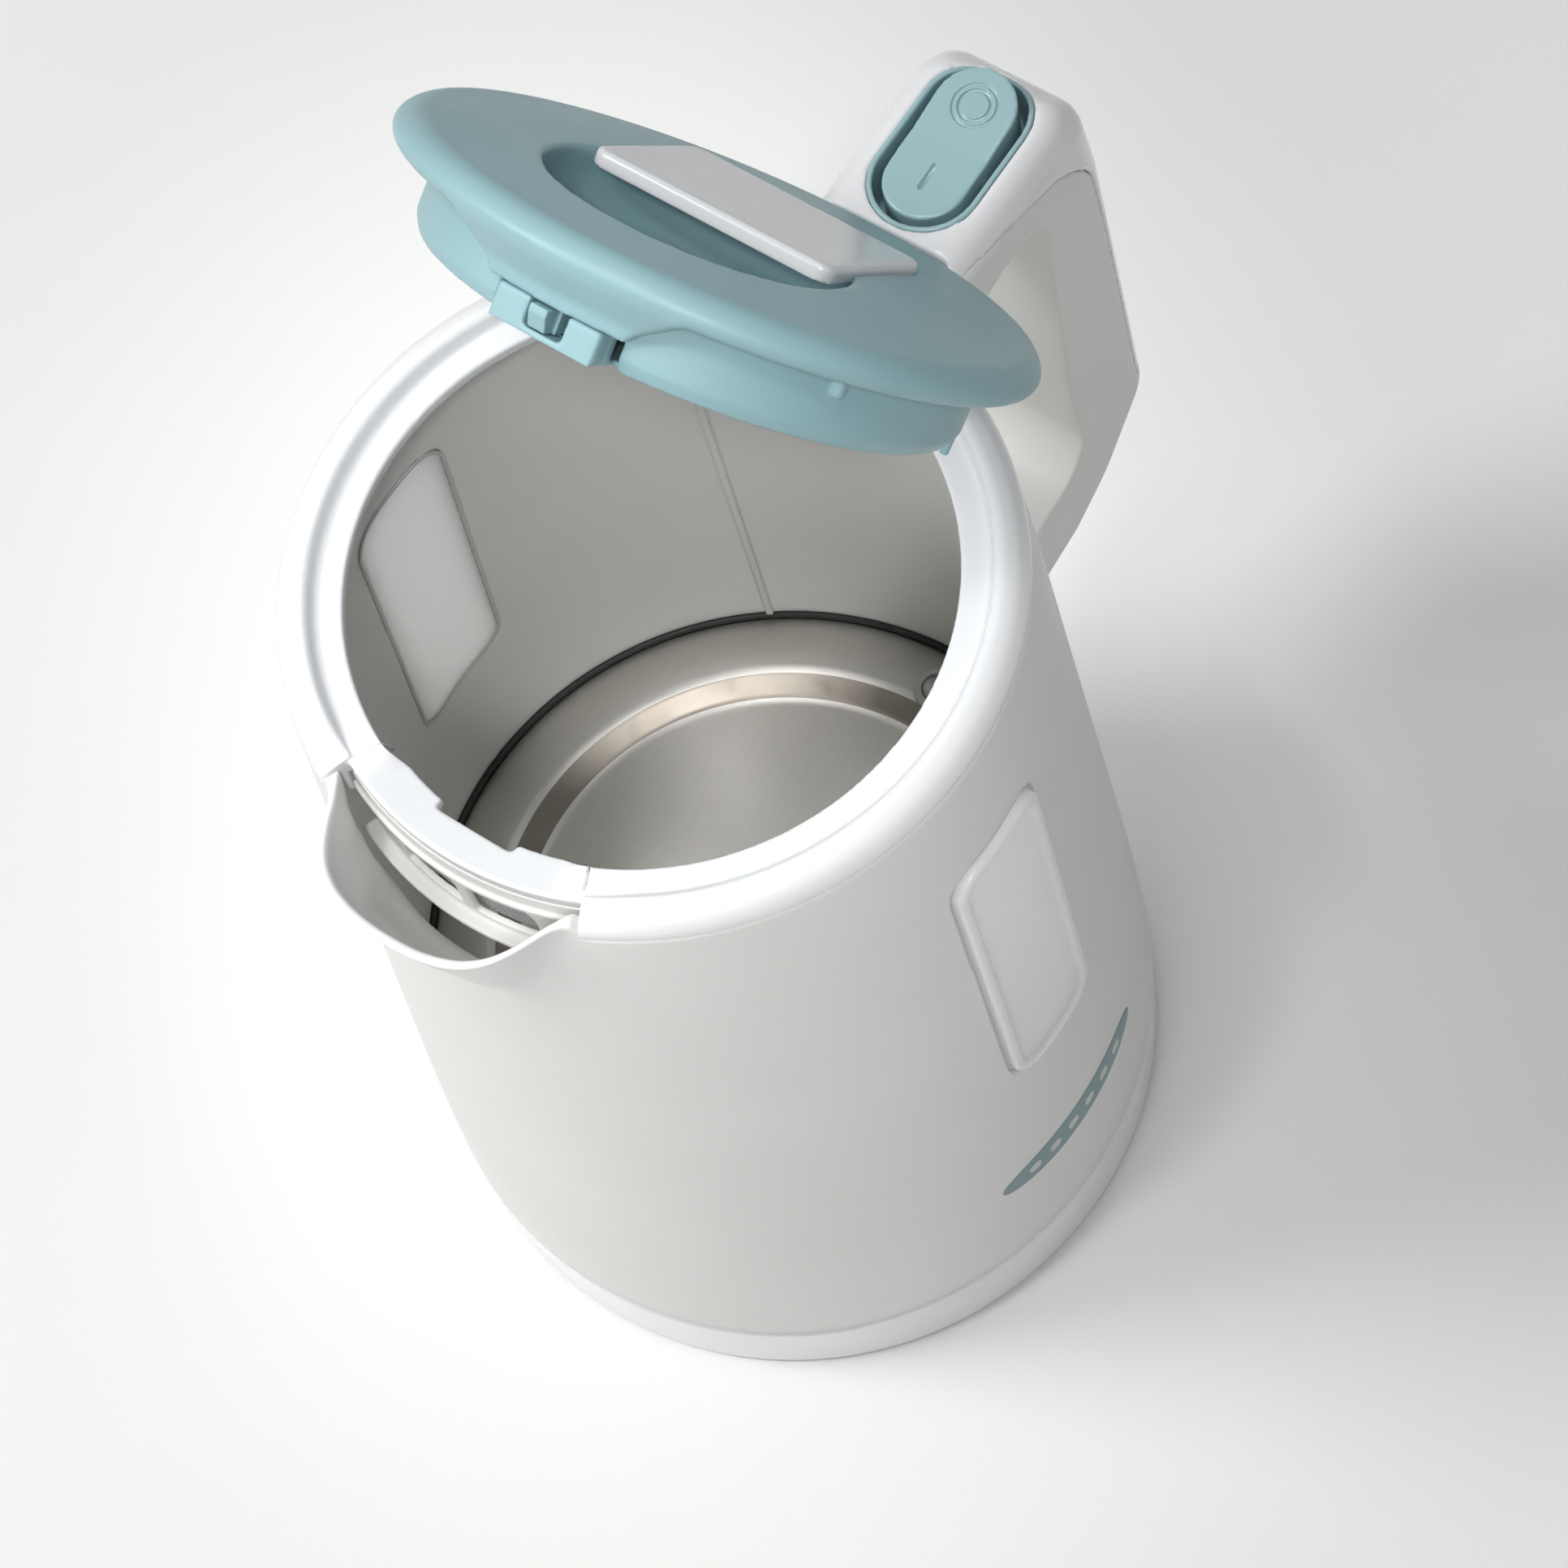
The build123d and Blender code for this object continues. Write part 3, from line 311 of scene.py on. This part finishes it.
SILICONE = moulded("white_silicone", (0.55, 0.55, 0.54), (0.62, 0.62, 0.61), 0.4, 0.5, 0.01)
RUBBER = moulded("grey_rubber", (0.10, 0.10, 0.105), (0.14, 0.14, 0.145), 0.6, 0.75, 0.03)


def brushed(name, colour, rough, axes, strength):
    """Steel with fine scratches drawn out along one axis."""
    s = Shader(name)
    scratches = s.noise(160.0, 6.0, 0.7, axes)
    ramp = s.ramp(scratches, "Fac", 0.3, 0.7, (*[c * 0.82 for c in colour], 1), (*colour, 1))
    s.link(ramp, "Color", s.bsdf, "Base Color")
    s.rough_noise(160.0, rough, rough + 0.14, 6.0, axes)
    s.bump(scratches, "Fac", strength * MM)
    s.set(Metallic=1.0, Anisotropic=0.6)
    return s.material


PLATE_STEEL = brushed("brushed_steel", (0.80, 0.775, 0.735), 0.44, (1.0, 60.0, 60.0), 0.012)
# a dark copy of the plate's steel for its sloping step: painted shade, since the step lies in shade
STEP_STEEL_PAINTED_SHADE = brushed("steel_painted_shade", (0.30, 0.27, 0.235), 0.30, (1, 1, 1), 0.006)
STEEL = brushed("plain_steel", (0.55, 0.55, 0.555), 0.25, (1, 1, 8), 0.004)
BRASS = brushed("brass", (0.72, 0.56, 0.28), 0.22, (1, 1, 8), 0.004)
ALUMINIUM = brushed("cast_aluminium", (0.5, 0.5, 0.51), 0.4, (1, 1, 1), 0.02)


def frosted():
    """Milky plastic that lets light through."""
    s = Shader("frosted_clear_plastic")
    s.colour_noise(30.0, (0.925, 0.93, 0.935), (0.94, 0.945, 0.95))
    s.rough_noise(80.0, 0.30, 0.33)
    s.bump(s.noise(1800.0, 2.0), "Fac", 0.01 * MM)
    s.set(IOR=1.45, Coat_Weight=0.4, Coat_Roughness=0.08)
    s.set(Subsurface_Weight=0.8, Subsurface_Scale=0.02)
    s.bsdf.inputs["Subsurface Radius"].default_value = (1.0, 1.0, 1.0)
    return s.material


WINDOW = frosted()


def woven_mesh():
    """Wires across and up, as light lines over holes that are painted dark: painted shade for the gaps."""
    s = Shader("woven_mesh")
    mapping = s.coords()
    wave_a = s.node("ShaderNodeTexWave", Scale=420.0, p_bands_direction="Y")
    wave_b = s.node("ShaderNodeTexWave", Scale=420.0, p_bands_direction="Z")
    s.link(mapping, "Vector", wave_a, "Vector")
    s.link(mapping, "Vector", wave_b, "Vector")
    both = s.node("ShaderNodeMath", p_operation="MAXIMUM")
    s.link(wave_a, "Fac", both, 0)
    s.link(wave_b, "Fac", both, 1)
    # the holes' dark colour is painted shade, standing in for the dim space seen through them
    ramp = s.ramp(both, "Value", 0.3, 0.8, (0.10, 0.105, 0.11, 1), (0.42, 0.43, 0.44, 1))
    s.link(ramp, "Color", s.bsdf, "Base Color")
    s.bump(both, "Value", 0.1 * MM)
    s.set(Metallic=0.7, Roughness=0.4)
    return s.material


MESH = woven_mesh()

SLOT_LOOKS = {
    "white_gloss": WHITE_GLOSS, "white_satin": WHITE_SATIN, "teal_satin": TEAL_SATIN,
    "teal_gloss": TEAL_GLOSS, "window_clear": WINDOW, "silicone_white": SILICONE, "seal_black": SEAL,
    "rubber_grey": RUBBER, "plate_steel": PLATE_STEEL, "screw_steel": STEEL, "mesh_steel": MESH,
    "element_aluminium": ALUMINIUM, "pin_brass": BRASS, "black_plastic": BLACK,
}
for part in frame["record"]["subparts"]:
    node = frame["nodes"][part["node"]]
    for material_slot in node.material_slots:
        material_slot.material = SLOT_LOOKS[part["material_slot"]]

# ================================================================ body with its spout
JUG_LOW_Z = 23.2
SEAM_Z = 220.0  # joint line between the body and the collar
WALL = 3.2
SPOUT_WALL = 1.8
LIP_Z = 223.4
SPOUT_LOW = 184.0
FLANGE_R, FLANGE_LOW_Z, FLANGE_TOP_Z = 68.4, 49.5, 52.5
PLAIN_TOP_Z = 180.0  # below this the body is round
PLAIN_ROWS = [24.2 + (PLAIN_TOP_Z - 24.2) * k / 40 for k in range(41)]
# radius and height of the jug's outside, bottom to top
JUG_LINE = [(78.2, JUG_LOW_Z), (76.4, 58.0), (73.6, 100.0), (69.2, 165.0), (65.3, SEAM_Z)]
JUG_FIT = np.polyfit([z for r, z in JUG_LINE], [r for r, z in JUG_LINE], 4)
# how far the lip stands out at an angle from the front, with its corners smoothed
LIP_ANGLES = [0.0, 5.1, 10.1, 13.7, 17.4, 20.3, 23.0, 25.0]
LIP_PROUD = [13.1, 13.0, 11.9, 9.7, 5.2, 0.9, -0.6, 0.0]
LIP_STEP = 0.2
lip_angles = np.arange(-30.0, 30.0 + LIP_STEP / 2, LIP_STEP)
lip_kernel = np.exp(-0.5 * (np.arange(-5.0, 5.0 + LIP_STEP / 2, LIP_STEP) / 1.3) ** 2)
lip_raw = np.interp(np.abs(lip_angles), LIP_ANGLES, LIP_PROUD)
lip_curve = np.convolve(lip_raw, lip_kernel / lip_kernel.sum(), "same")


def jug_r(z):
    """The jug's outer radius at a height."""
    return float(np.polyval(JUG_FIT, min(max(z, JUG_LOW_Z), 224.0)))


def smoothstep(t):
    """An even rise from 0 to 1."""
    t = min(max(t, 0.0), 1.0)
    return t * t * (3 - 2 * t)


def spout_proud(phi, z):
    """How far the spout stands out of the jug's wall, phi degrees from the front."""
    h = (z - SPOUT_LOW) / (LIP_Z - SPOUT_LOW)
    if h <= 0 or abs(phi) > 26:
        return 0.0
    width = 0.50 + 0.50 * min(h, 1.0) ** 0.8
    proud = float(np.interp(abs(phi) / width, lip_angles, lip_curve))
    rise = h * smoothstep(h / 0.35) if h < 0.35 else h
    return max(proud, -0.8) * rise


def wall_thickness(phi, z):
    """The wall is thinner in the spout."""
    h = smoothstep((z - 190.0) / 14.0)
    return WALL - (WALL - SPOUT_WALL) * h * smoothstep((24.5 - abs(phi)) / 4)


def body_line(phi):
    """The wall's closed section at phi, up the outside, over the lip and down the inside."""
    top = SEAM_Z + (LIP_Z - SEAM_Z) * smoothstep((25.6 - abs(phi)) / 2.6)
    line = [(jug_r(JUG_LOW_Z) - 1.0, JUG_LOW_Z), (jug_r(JUG_LOW_Z) - 0.3, 23.5)]
    line += [(jug_r(z), z) for z in PLAIN_ROWS]
    for k in range(1, 45):
        z = PLAIN_TOP_Z + (top - 0.5 - PLAIN_TOP_Z) * k / 44
        line.append((jug_r(z) + spout_proud(phi, z), z))
    lip = jug_r(top) + spout_proud(phi, top)
    wall = wall_thickness(phi, top)
    line += [(lip - 0.25, top - 0.12), (lip - 0.7, top)]
    line += [(lip - wall + 0.6, top), (lip - wall + 0.2, top - 0.15)]
    for k in range(44, 0, -1):
        z = PLAIN_TOP_Z + (top - 0.6 - PLAIN_TOP_Z) * k / 44
        line.append((jug_r(z) + spout_proud(phi, z) - wall_thickness(phi, z), z))
    line += [(jug_r(z) - WALL, z) for z in reversed(PLAIN_ROWS[9:])]
    line += [(jug_r(53.0) - WALL, 53.0), (jug_r(FLANGE_TOP_Z) - WALL - 0.3, FLANGE_TOP_Z)]
    line += [(FLANGE_R, FLANGE_TOP_Z), (FLANGE_R, FLANGE_LOW_Z)]
    return line + [(jug_r(z) - WALL, z) for z in (49.4, 40.0, 30.0, 23.6)]


def jug_body():
    """The jug's wall with its spout, before the windows are cut."""
    steps = 720
    verts = []
    for i in range(steps):
        phi = 180.0 * (2 * i / steps - 1)
        line = body_line(phi)
        a = math.radians(180.0 + phi)
        verts += [(r * math.cos(a), r * math.sin(a), z) for r, z in line]
    n = len(line)
    faces = []
    for i in range(steps):
        j = (i + 1) % steps
        for k in range(n):
            m = (k + 1) % n
            faces.append((i * n + k, j * n + k, j * n + m, i * n + m))
    return tidy_normals(mesh_object("jug_body", verts, faces))


WINDOW_HALF, WINDOW_LOW, WINDOW_HIGH, WINDOW_CORNER = 13.3, 102.2, 191.8, 6.8
SLOT_HALF = 12.7  # the lid's arm swings in this slot

body = jug_body()
window_line = [(-WINDOW_HALF, WINDOW_LOW), (WINDOW_HALF, WINDOW_LOW)]
window_line += [(WINDOW_HALF, WINDOW_HIGH), (-WINDOW_HALF, WINDOW_HIGH)]
window_line = rounded_line(window_line, WINDOW_CORNER, steps=10)
for low, high in ((-90.0, -50.0), (50.0, 90.0)):
    cut(body, prism("cut", window_line, low, high, along_y))
slot_line = [(56, -SLOT_HALF), (68, -SLOT_HALF), (68, SLOT_HALF), (56, SLOT_HALF)]
cut(body, prism("cut", slot_line, 213.3, 230.0, along_z))
put(smooth_shaded(body), "kettle", "white_satin", ["body_shell"], WHITE_SATIN)

# the inner ribs stand at this angle on both sides of the handle
RIB_ANGLE, RIB_LOW, RIB_HIGH, RIB_HALF = 34.5, 58.0, 211.0, 0.8
foot_r, head_r = jug_r(RIB_LOW) - WALL, jug_r(RIB_HIGH) - WALL
RIB_LINE = [(foot_r - 1.2, RIB_LOW), (foot_r + 1.2, RIB_LOW)]
RIB_LINE += [(head_r + 1.2, RIB_HIGH), (head_r - 1.0, RIB_HIGH)]


def rib_place(angle):
    """Place a section of radius and height at an angle about Z."""
    c, s = math.cos(math.radians(angle)), math.sin(math.radians(angle))
    return lambda r, z, h: (r * c - h * s, r * s + h * c, z)


for side, letter in ((1, "left"), (-1, "right")):
    rib = prism("inner_rib_" + letter, RIB_LINE, -RIB_HALF, RIB_HALF, rib_place(side * RIB_ANGLE))
    put(smooth_shaded(bevelled(rib, 0.35)), "kettle", "white_satin", material=WHITE_SATIN)

# ================================================================ printed badge
BADGE_Z = 57.5
BADGE_HALF = 23.5
DASHES, DASH_START, DASH_GAP, DASH_HALF = 6, -15.0, 6.0, 1.6


def wall_patch(name, x0, x1, half_height, low, high, columns, rows):
    """A thin piece on the jug's right wall; half_height(t) is for t from -1 to 1 along it."""
    verts = []
    for i in range(columns + 1):
        x = x0 + (x1 - x0) * i / columns
        half = half_height(2.0 * i / columns - 1.0)
        heights = [BADGE_Z - half + 2 * half * k / rows for k in range(rows + 1)]
        for h, zs in ((high, heights), (low, reversed(heights))):
            verts += [(x, -math.sqrt((jug_r(z) + h) ** 2 - x * x), z) for z in zs]
    n = 2 * (rows + 1)
    faces = [tuple(range(n)), tuple(reversed(range(columns * n, (columns + 1) * n)))]
    for i in range(columns):
        for k in range(n):
            m = (k + 1) % n
            faces.append((i * n + k, (i + 1) * n + k, (i + 1) * n + m, i * n + m))
    return tidy_normals(mesh_object(name, verts, faces))


def badge_half(t):
    """The oval's half height."""
    return 0.3 + 4.3 * (1 - abs(t) ** 3.2) ** 0.55


def dash_half(t):
    """A dash's half height."""
    return 0.1 + 1.3 * (1 - t ** 4) ** 0.5


badge = wall_patch("printed_badge", -BADGE_HALF, BADGE_HALF, badge_half, -0.3, 0.16, 60, 8)
put(badge, "kettle", "teal_gloss", material=PRINT_TEAL)
for i in range(DASHES):
    x = DASH_START + DASH_GAP * i
    dash = wall_patch("badge_dash_%d" % i, x - DASH_HALF, x + DASH_HALF, dash_half, -0.2, 0.24, 12, 3)
    put(dash, "kettle", "white_gloss", material=PRINT_PALE)

# ================================================================ heating plate and its seal
RING_Z, WELL_Z = 56.5, 53.5  # the plate's outer ring and its sunk middle
STEP_IN, STEP_OUT, PLATE_EDGE, SHEET = 53.6, 60.0, 71.9, 1.2
FLAT = 2.2  # flat beside the step, so that its shading stays flat
SEAL_IN = PLATE_EDGE + 0.05
plate_line = [(0.01, WELL_Z), (STEP_IN - FLAT, WELL_Z), (STEP_IN, WELL_Z), (STEP_OUT, RING_Z)]
plate_line += [(STEP_OUT + FLAT, RING_Z), (PLATE_EDGE - 0.4, RING_Z), (PLATE_EDGE, RING_Z - 0.3)]
plate_line = rounded_line(plate_line, [0, 0, 1.6, 1.6, 0, 0, 0], closed=False)
plate_line.insert(1, (20.0, WELL_Z))
under_line = [(r, z - SHEET) for r, z in reversed(plate_line)]
plate = turned("steel_plate", plate_line + under_line, 240)
plate.data.materials.append(PLATE_STEEL)
plate.data.materials.append(STEP_STEEL_PAINTED_SHADE)
# faces on the sloping step take the dark steel, painted shade on the step
for face in plate.data.polygons:
    r = math.hypot(face.center.x, face.center.y) / MM
    step_in_painted_shade = STEP_IN + 0.6 < r < STEP_OUT - 0.9 and face.normal.z > 0
    face.material_index = 1 if step_in_painted_shade else 0
put(smooth_shaded(plate), "kettle", "plate_steel", ["heating_plate"])
seal_line = [(SEAL_IN, 54.0), (73.3, 54.0), (73.25, 57.1), (72.9, 57.6), (72.3, 57.6), (SEAL_IN, 57.1)]
seal = smooth_shaded(turned("plate_seal_ring", seal_line, 240))
put(seal, "kettle", "seal_black", ["plate_seal"], SEAL)

# ================================================================ softened CAD pieces
LEDGE_Z = 222.6
OPENING_ANGLE = 24.1  # just inside the half angle of the collar's opening at the spout
SEAT_FROM, SEAT_SPAN = 18.0, 6.0  # the seat rises over these degrees from the front
ROLL_FROM, ROLL_SPAN, ROLL_DROP = 33.0, 8.5, 0.74  # the roll sinks over these
SEAT_Z, SEAT_R, SEAT_SLOPE = 219.0, 51.5, 0.434
SEAT_UNDER_Z, SEAT_OUT_R, MOUTH_R = 218.4, 60.4, 53.4


def taper_collar(obj):
    """The collar's roll runs out into the spout's lip, and the seat rises to the ledge at both ends."""
    for vertex in obj.data.vertices:
        x, y, z = (c / MM for c in vertex.co)
        r = math.hypot(x, y)
        phi = abs(math.degrees(math.atan2(y, -x)))
        end = smoothstep((phi - SEAT_FROM) / SEAT_SPAN)
        if phi >= OPENING_ANGLE:
            if z > LEDGE_Z:
                drop = ROLL_DROP * smoothstep((ROLL_FROM - phi) / ROLL_SPAN)
                z = LEDGE_Z + (z - LEDGE_Z) * (1 - drop)
        elif z > SEAT_UNDER_Z and r < SEAT_OUT_R:
            seat = SEAT_Z + max(0.0, r - SEAT_R) * SEAT_SLOPE
            z += end * max(0.0, LEDGE_Z - seat) * min(1.0, max(0.0, (z - SEAT_UNDER_Z) / 0.6))
        if phi < OPENING_ANGLE and r < MOUTH_R:
            pull = 1 + end * (MOUTH_R - r) / r
            vertex.co.x, vertex.co.y = x * pull * MM, y * pull * MM
        vertex.co.z = z * MM


def narrow_bolt(obj):
    """Leave a dark gap beside the latch's bolt."""
    for vertex in obj.data.vertices:
        vertex.co.y = vertex.co.y * 0.66 + 0.9 * MM


ROCKER_X = 95.0
# the face's height in the middle and 25 mm to each side
FACE_LOW, FACE_MID, FACE_HIGH = 227.3, 228.2, 232.4
RING_X, BAR_X = 103.3, 87.8
INNER_RING = [(2.5, -0.35), (2.9, -0.45), (3.3, -0.35), (3.3, 1.0), (2.5, 1.0)]
OUTER_RING = [(3.8, -0.3), (4.1, -0.35), (4.4, -0.3), (4.4, 1.0), (3.8, 1.0)]
BAR_LINE = rounded_line([(-2.9, -0.5), (2.9, -0.5), (2.9, 0.5), (-2.9, 0.5)], 0.45)


def on_rocker(obj, x):
    """Lay a piece on the rocker's sloping face at x."""
    slope = (FACE_HIGH - FACE_MID) / 25.0 if x > ROCKER_X else (FACE_MID - FACE_LOW) / 25.0
    height = FACE_MID + (x - ROCKER_X) * slope
    turn = Matrix.Rotation(-math.atan(slope), 4, "Y")
    obj.data.transform(Matrix.Translation((x * MM, 0, height * MM)) @ turn)
    return obj


def mark_rocker(obj):
    """Sink the O and the I into the rocker's face."""
    for section in (INNER_RING, OUTER_RING):
        cut(obj, on_rocker(turned("cut", section, 96), RING_X))
    cut(obj, on_rocker(prism("cut", BAR_LINE, -0.45, 1.0, along_z), BAR_X))
    smooth_shaded(obj)


ARCH_IN, ARCH_OUT, ARCH_LOW, ARCH_HIGH = 1.4, 14.4, 200.5, 213.5
FILTER_LINE = [
    (58.9, 198.0), (63.0, 198.0), (63.0, 199.4), (60.2, 199.4), (60.2, 213.8), (60.9, 214.2), (60.9, 215.6),
    (60.2, 216.0), (59.9, 219.4), (58.9, 219.4),
]


def filter_wall():
    """The curved wall between the jug and the spout, with two arched openings."""
    wall = turned("filter_wall", FILTER_LINE, 120, 180.0 - OPENING_ANGLE, 2 * OPENING_ANGLE)
    for low, high in ((-ARCH_OUT, -ARCH_IN), (ARCH_IN, ARCH_OUT)):
        arch = [(low, ARCH_LOW), (high, ARCH_LOW), (high, ARCH_HIGH), (low, ARCH_HIGH)]
        arch = rounded_line(arch, [0.6, 0.6, 6.0, 6.0], steps=10)
        cut(wall, prism("cut", arch, -70.0, -50.0, along_x))
    return remeshed(wall, 0.3, 3)


put(filter_wall(), "kettle", "white_satin", ["filter_frame"], WHITE_SATIN)

# node, body, voxel size, rounds of smoothing
SOFT_PIECES = [
    ("rim_collar", "kettle", 0.45, 5), ("handle_shell", "kettle", 0.5, 8),
    ("handle_grip", "kettle", 0.55, 8), ("switch_well", "kettle", 0.35, 3),
    ("window_left", "kettle", 0.35, 18), ("window_right", "kettle", 0.35, 18),
    ("lid_top", "lid", 0.45, 18), ("lid_plug", "lid", 0.4, 4),
    ("grip_plate", "lid", 0.35, 8), ("lid_inner_cover", "lid", 0.35, 2), ("lid_latch", "latch", 0.2, 2),
    ("rocker", "rocker", 0.3, 10),
]
RESHAPED = {"lid_latch": narrow_bolt, "rim_collar": taper_collar, "rocker": mark_rocker}
slot_of = {part["node"]: part["material_slot"] for part in frame["record"]["subparts"]}
for node_name, body_name, voxel, rounds in SOFT_PIECES:
    piece = softened(node_name, voxel, rounds)
    if node_name in RESHAPED:
        RESHAPED[node_name](piece)
    slot_name = slot_of[node_name]
    # the grip plate wears the greyer white, a painted reflection
    look = PLATE_WHITE_PAINTED_REFLECTION if node_name == "grip_plate" else SLOT_LOOKS[slot_name]
    put(piece, body_name, slot_name, [node_name], look)

# ================================================================ floor, light and camera


def floor_material():
    """A plain pale floor with a trace of grain."""
    s = Shader("pale_floor")
    s.colour_noise(3.0, (0.92, 0.935, 0.915), (0.94, 0.95, 0.935))
    s.rough_noise(12.0, 0.55, 0.65)
    s.bump(s.noise(900.0, 2.0), "Fac", 0.02 * MM)
    return s.material


FLOOR = 3000  # half side
floor_corners = [(-FLOOR, -FLOOR, 0), (FLOOR, -FLOOR, 0), (FLOOR, FLOOR, 0), (-FLOOR, FLOOR, 0)]
floor = mesh_object("floor", floor_corners, [(0, 1, 2, 3)])
floor.data.materials.append(floor_material())


def add_light(name, kind, place, target, energy):
    """A light in metres that looks at its target."""
    data = bpy.data.lights.new(name, kind)
    data.energy = energy
    obj = bpy.data.objects.new(name, data)
    obj.location = place
    obj.rotation_euler = (Vector(target) - Vector(place)).to_track_quat("-Z", "Y").to_euler()
    SCENE.collection.objects.link(obj)
    return data


def area_light(name, place, target, size, energy, colour=(1, 1, 1)):
    """A soft round light."""
    data = add_light(name, "AREA", place, target, energy)
    data.shape = "DISK"
    data.size = size
    data.color = colour


def spot_light(name, place, target, energy, cone, radius):
    """A narrow beam; the cone is in degrees."""
    data = add_light(name, "SPOT", place, target, energy)
    data.spot_size = math.radians(cone)
    data.spot_blend = 0.35
    data.shadow_soft_size = radius


area_light("key_light", (-0.60, 0.85, 1.35), (0, 0, 0.12), 0.6, 12.0, (1.0, 0.995, 0.98))
area_light("front_light", (-0.75, -0.25, 1.0), (0, 0, 0.15), 0.5, 1.6, (1.0, 0.99, 0.985))
area_light("top_light", (0.02, 0.05, 1.5), (0, 0, 0.06), 0.55, 2.0)
# two beams through the jug's mouth
spot_light("plate_light", (-0.22, 0.10, 1.3), (-0.012, -0.002, 0.06), 20.0, 8.5, 0.09)
spot_light("inside_light", (-0.38, -0.42, 1.2), (0.022, 0.026, 0.15), 46.0, 7.6, 0.10)

world = bpy.data.worlds.new("studio")
SCENE.world = world
world.use_nodes = True
# the studio is brightest above the spout on the +Y side
sky = world.node_tree
background = sky.nodes["Background"]
background.inputs["Color"].default_value = (0.98, 0.985, 1.0, 1)
direction = sky.nodes.new("ShaderNodeTexCoord")
towards = sky.nodes.new("ShaderNodeVectorMath")
towards.operation = "DOT_PRODUCT"
towards.inputs[1].default_value = (-0.55, 0.60, 0.58)
level = sky.nodes.new("ShaderNodeMapRange")
for socket, value in (("From Min", -0.8), ("From Max", 1.0), ("To Min", 0.10), ("To Max", 0.52)):
    level.inputs[socket].default_value = value
sky.links.new(direction.outputs["Generated"], towards.inputs[0])
sky.links.new(towards.outputs["Value"], level.inputs["Value"])
sky.links.new(level.outputs["Result"], background.inputs["Strength"])

# the camera looks down at the point TARGET, shifted sideways and up in its own picture plane
AZ, EL, ROLL = (math.radians(a) for a in (-39.7663, 65.6764, -17.5810))
TARGET = Vector((0, 0, 0.1))
ASIDE, ABOVE, DISTANCE = 0.0078175, 0.0130258, 0.775455
back = Vector((math.sin(AZ) * math.cos(EL), -math.cos(AZ) * math.cos(EL), math.sin(EL)))
right = Vector((math.cos(AZ), math.sin(AZ), 0.0))
up = back.cross(right)
cam_right = right * math.cos(ROLL) + up * math.sin(ROLL)
cam_up = up * math.cos(ROLL) - right * math.sin(ROLL)
location = TARGET + cam_right * ASIDE + cam_up * ABOVE + back * DISTANCE
camera_data = bpy.data.cameras.new("camera")
camera_data.sensor_width = 36.0
camera_data.lens = 89.44
camera = bpy.data.objects.new("camera", camera_data)
SCENE.collection.objects.link(camera)
axes = Matrix((cam_right, cam_up, back)).transposed()
camera.matrix_world = Matrix.Translation(location) @ axes.to_4x4()
SCENE.camera = camera
SCENE.view_settings.view_transform = "Standard"
